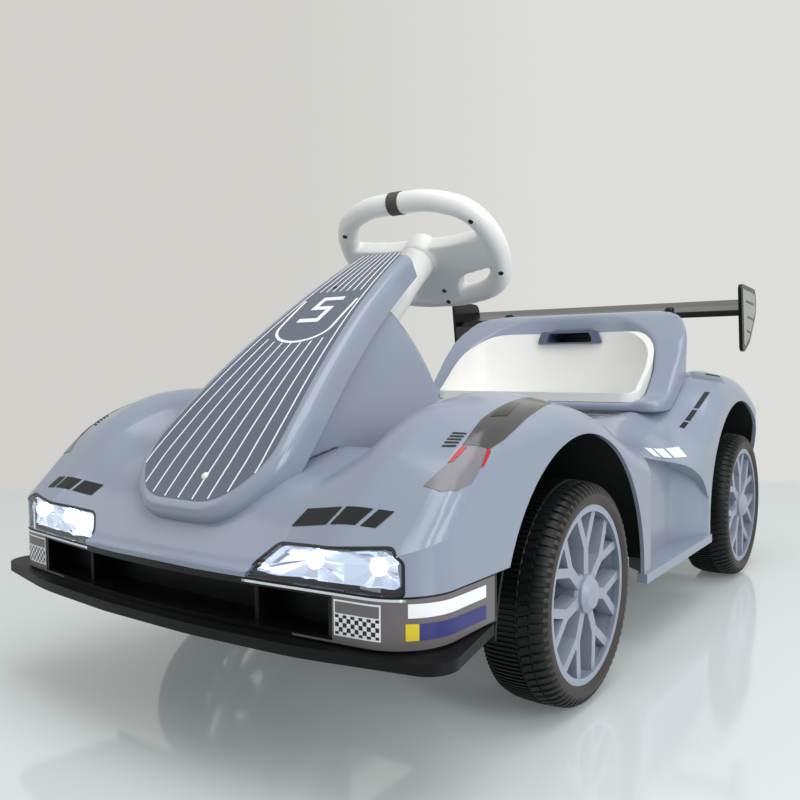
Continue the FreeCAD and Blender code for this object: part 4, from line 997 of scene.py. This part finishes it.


# %% [markdown]
# Each front fender carries a smoked film with a darker vent, a brown-grey patch with two red accents in
# front of it, and five short slots. On top of each rear fender, painted shade stands for a small recess and
# black painted shade for the slot in it.

# %% Fender films
smoke_film = printed("smoked_film", "#4A4A49", 0.18)
dark_smoke = printed("dark_smoked_film", "#262726", 0.16)
patch_film = printed("brown_grey_film", "#7C7A80", 0.22)
red_ink = printed("red_ink", "#B5221A", 0.3)
# The recess on each rear fender is painted shade: the body's blue-grey, darkened.
painted_recess_shade = printed("painted_recess_shade_grey", "#7A8392", 0.3)
DOWN_AND_IN, DOWN_AND_BACK, DOWN_ON_REAR = (-0.62, 0.22, -0.75), (0, 0.3, -0.95), (-0.2, 0.2, -0.95)
FENDER_FILMS = [
    ("fender_smoke", DOWN_AND_IN, smoke_film, 0.4, [
        (221.5, -399, 247), (234, -384, 242), (235.6, -365, 248), (234.6, -345, 254), (232, -321, 261),
        (227.5, -291, 266), (219, -253, 269), (206, -215, 271), (188, -215, 274), (194, -240, 274),
        (202.5, -274, 274), (208.5, -303, 273), (215, -340, 269), (217, -366, 262), (220, -385, 254)]),
    ("fender_patch", DOWN_AND_IN, patch_film, 0.4, [
        (211, -434, 221), (219.6, -416, 235), (221.5, -399.6, 246), (233.6, -385.5, 242), (236, -400, 230),
        (236, -412, 221), (232.5, -425, 218), (224, -433, 218)]),
    ("fender_vent", DOWN_AND_IN, dark_smoke, 0.7, [
        (219.5, -356, 264), (210.4, -306, 273), (214, -296, 272), (226, -341, 264)]),
    ("fender_accent_a", DOWN_AND_IN, red_ink, 0.7, [
        (219.4, -416.5, 235), (221.3, -399.5, 246), (224.8, -398, 245), (222, -413, 236)]),
    ("fender_accent_b", DOWN_AND_IN, red_ink, 0.7, [
        (236, -399, 231), (232, -384, 242), (235, -383, 241), (236.8, -396, 232)]),
    # The last two films are painted shade: a recess and the slot in it.
    ("rear_recess_painted_shade", DOWN_ON_REAR, painted_recess_shade, 0.3, [
        (181, 278, 288), (218.5, 292.4, 283), (230, 268.4, 272), (193, 253, 281)]),
    ("rear_slot_painted_shade", DOWN_ON_REAR, black_ink_and_painted_slot_shade, 0.6, [
        (200, 284, 286), (217, 290.5, 283.5), (221, 283, 280.5), (204, 277, 284)]),
]
FENDER_SLOTS, SLOT_PITCH = 5, 4.1
FENDER_SLOT = [(208.3, -406, 245), (218, -402.4, 246), (217.6, -400.4, 246), (208.1, -404, 245)]
for name, inward, finish, lift, outline in FENDER_FILMS:
    both_sides(name, "body_shell", outline, inward, finish, lift=lift)
for i in range(FENDER_SLOTS):
    both_sides(f"fender_slot_{i}", "body_shell", [(x, y + SLOT_PITCH * i, z) for x, y, z in FENDER_SLOT],
               DOWN_AND_BACK, black_ink_and_painted_slot_shade)
print(2 * (len(FENDER_FILMS) + FENDER_SLOTS), "films on the fenders")

# %% [markdown]
# The handle slot in the backrest holds a flanged cup in painted shade, the body's blue-grey darkened. It is made
# of four rounded rings, joined one to the next, and its closed back stands behind the room that the fingers need.

# %% Handle slot
GRIP_MOUTH = [(-38.6, 333.8), (-32.4, 348.2), (32.4, 348.2), (38.6, 333.8)]
GRIP_FRAME = [(-53, 331.5), (-45, 351), (45, 351), (53, 331.5)]
GRIP_FACE, GRIP_FLANGE, GRIP_BACK, GRIP_CORNER = 274.0, 281.0, 338.0, 4
# The cup's colour is painted shade: the seat's own blue-grey as it looks in the slot's shadow.
handle_cup_painted_shade = moulded("painted_shade_blue_grey", "#566075", 0.4)
cup = bmesh.new()
rings = [[cup.verts.new(Vector((p.x, y, p.y)) * MM) for p in rounded([(*c, GRIP_CORNER) for c in outline], steps=5)]
         for outline, y in ((GRIP_FRAME, GRIP_FLANGE), (GRIP_FRAME, GRIP_FACE), (GRIP_MOUTH, GRIP_FACE),
                            (GRIP_MOUTH, GRIP_BACK))]
for one, two in zip(rings, rings[1:]):
    for i in range(len(one)):
        cup.faces.new((one[i - 1], one[i], two[i], two[i - 1]))
cup.faces.new(rings[-1])
settle(finish_shape(cup, "grip_pocket", smooth=True, angle=40), handle_cup_painted_shade, "kart")
print("cup", GRIP_BACK - GRIP_FACE, "mm deep")

# %% [markdown]
# The wing's end plates carry a pale sticker with three dark lines, and two clips hold the blade.

# %% Wing
PLATE_STICKER = [(327, 405), (398, 401), (404, 377), (368, 337), (343, 324), (338, 328)]
# Each line: its start and its length along the kart
PLATE_LINES = [(345, 390, 46), (355, 368, 36), (352, 348, 26)]
PLATE_X, LINE_HEIGHT = 240, 3
CLIP_PLACES = [(-144.8, 352, 388), (128, 352, 388)]
CLIP_PROFILE = [(7, -1), (7, 2.5), (5.5, 4.5), (3, 5.5), (0, 5.7)]
plate_film = printed("pale_grey_sticker", "#9A9C97", 0.35)
for side, way in SIDES:
    plate = "wing_end_plate_" + side
    press_on("plate_sticker_" + side, [plate], [(way * PLATE_X, y, z) for y, z in PLATE_STICKER], (-way, 0, 0),
             plate_film, slot="black")
    for i, (y, z, length) in enumerate(PLATE_LINES):
        line = [(y, z), (y + length, z - LINE_HEIGHT), (y + length, z - 2 * LINE_HEIGHT), (y, z - LINE_HEIGHT)]
        press_on(f"plate_line_{side}_{i}", [plate], [(way * PLATE_X, *p) for p in line], (-way, 0, 0), gloss_black,
                 lift=0.7, slot="black")
for i, place in enumerate(CLIP_PLACES):
    stud(f"wing_clip_{i}", "wing_blade", place, CLIP_PROFILE, gloss_black, axis=(0, -0.25, 0.97))
print(len(PLATE_LINES), "lines on each end plate")

# %% [markdown]
# Short rows of slanted bars decorate the bonnet, the sides and the rear fenders. A row starts at a point near
# the skin and runs along a direction, and each of its bars is a film of its own.

# %% Bars


def bars(name, start, run, rise, inward, finish, lengths, gap=4.0, slant=0.5):
    """Slanted bars in a row from start: run is the row's direction, and rise its height as a vector."""
    start, run, rise = Vector(start), Vector(run).normalized(), Vector(rise)
    for i, length in enumerate(lengths):
        low = start + run * (sum(lengths[:i]) + gap * i)
        tilt = run * rise.length * slant
        press_on(f"{name}_{i}", ["body_shell"],
                 [low, low + run * length, low + run * length + rise + tilt, low + rise + tilt], inward, finish)


BONNET_INWARD = (0, 0.7, -0.7)
bars("bonnet_bar_left", (117, -466, 188), (1, 0.05, 0.06), (0, 10, 11), BONNET_INWARD, black_ink_and_painted_slot_shade, [34, 22, 12])
bars("bonnet_bar_right", (-196, -466, 190), (1, -0.02, 0), (0, 9, 9), BONNET_INWARD, black_ink_and_painted_slot_shade, [12, 22, 26])
for side, way in SIDES:
    bars("side_bar_" + side, (way * 217, 24, 196.5), (way * 12, 80, -8.5), (-way * 16, 0, 9.8),
         (-way * 0.53, 0, -0.85), white_ink, [18, 24, 30], gap=5)
    bars("rear_bar_" + side, (way * 203, 158, 218), (0.12 * way, 0.6, 0.42), (way * 8, -4, 2),
         (-way * 0.4, 0.45, -0.8), black_ink_and_painted_slot_shade, [16, 26, 38])
print("bars on bonnet, sides and rear fenders")

# %% [markdown]
# The bumper's corners wear a brown-grey sticker with a framed chequered panel in front, and a white and a
# blue bar with a yellow end at the side. The chequer's squares have a real size, and the pattern is flat
# across and up the nose, because the shader leaves out the depth.

# %% Stickers on the bumper
CHEQUER = 3.1
sticker_film = printed("brown_grey_sticker", "#6B6769", 0.38)
blue_ink = printed("blue_ink", "#2A2D73", 0.3)
yellow_ink = printed("yellow_ink", "#E3CB2A", 0.3)
chequer_print = checked("chequered_print", 0.35, "#E8E8EA", "#17181A", 1 / (CHEQUER * MM), keep=(1, 0, 1),
                        shift=(0, CHEQUER * MM / 2, 0))
AT_CORNER, AT_FRONT, AT_SIDE = (-0.72, 0.69, 0), (-0.4, 0.92, 0), (-0.85, 0.52, 0)
# The front panels: name, left, right, foot, top, lift and finish
FRONT_PANELS = [
    ("bumper_panel", 179, 208, 124, 148.5, 0.6, white_ink),
    ("bumper_panel_top", 180.2, 206.8, 139.5, 147.3, 0.8, sticker_film),
    ("bumper_chequer", 180.2, 206.8, 125.2, 138.5, 0.8, chequer_print),
]
PANEL_Y = (-500, -480)
SIDE_BARS = [
    ("bumper_word", white_ink, [(222, -470, 140), (238, -396, 138.5), (238, -396, 147.5), (222, -470, 149.5)]),
    ("bumper_bar_blue", blue_ink, [(226, -463, 125), (238, -396, 123), (238, -396, 133), (226, -463, 136)]),
    ("bumper_bar_yellow", yellow_ink, [
        (221.5, -471.5, 125), (225.6, -463.7, 125), (225.6, -463.7, 136), (221.5, -471.5, 136.4)]),
]
both_sides("bumper_sticker", "front_bumper", [
    (170, -520, 118.5), (240, -430, 118.5), (262, -381, 118.5), (262, -381, 151), (240, -430, 152.4),
    (170, -520, 152.8)], AT_CORNER, sticker_film, cell=4)
for name, left, right, foot, top, lift, finish in FRONT_PANELS:
    both_sides(name, "front_bumper", [
        (left, PANEL_Y[0], foot), (right, PANEL_Y[1], foot), (right, PANEL_Y[1], top), (left, PANEL_Y[0], top)],
        AT_FRONT, finish, lift=lift, cell=4)
for name, finish, outline in SIDE_BARS:
    both_sides(name, "front_bumper", outline, AT_SIDE, finish, lift=0.7, cell=4)
print("stickers with squares of", CHEQUER, "mm")
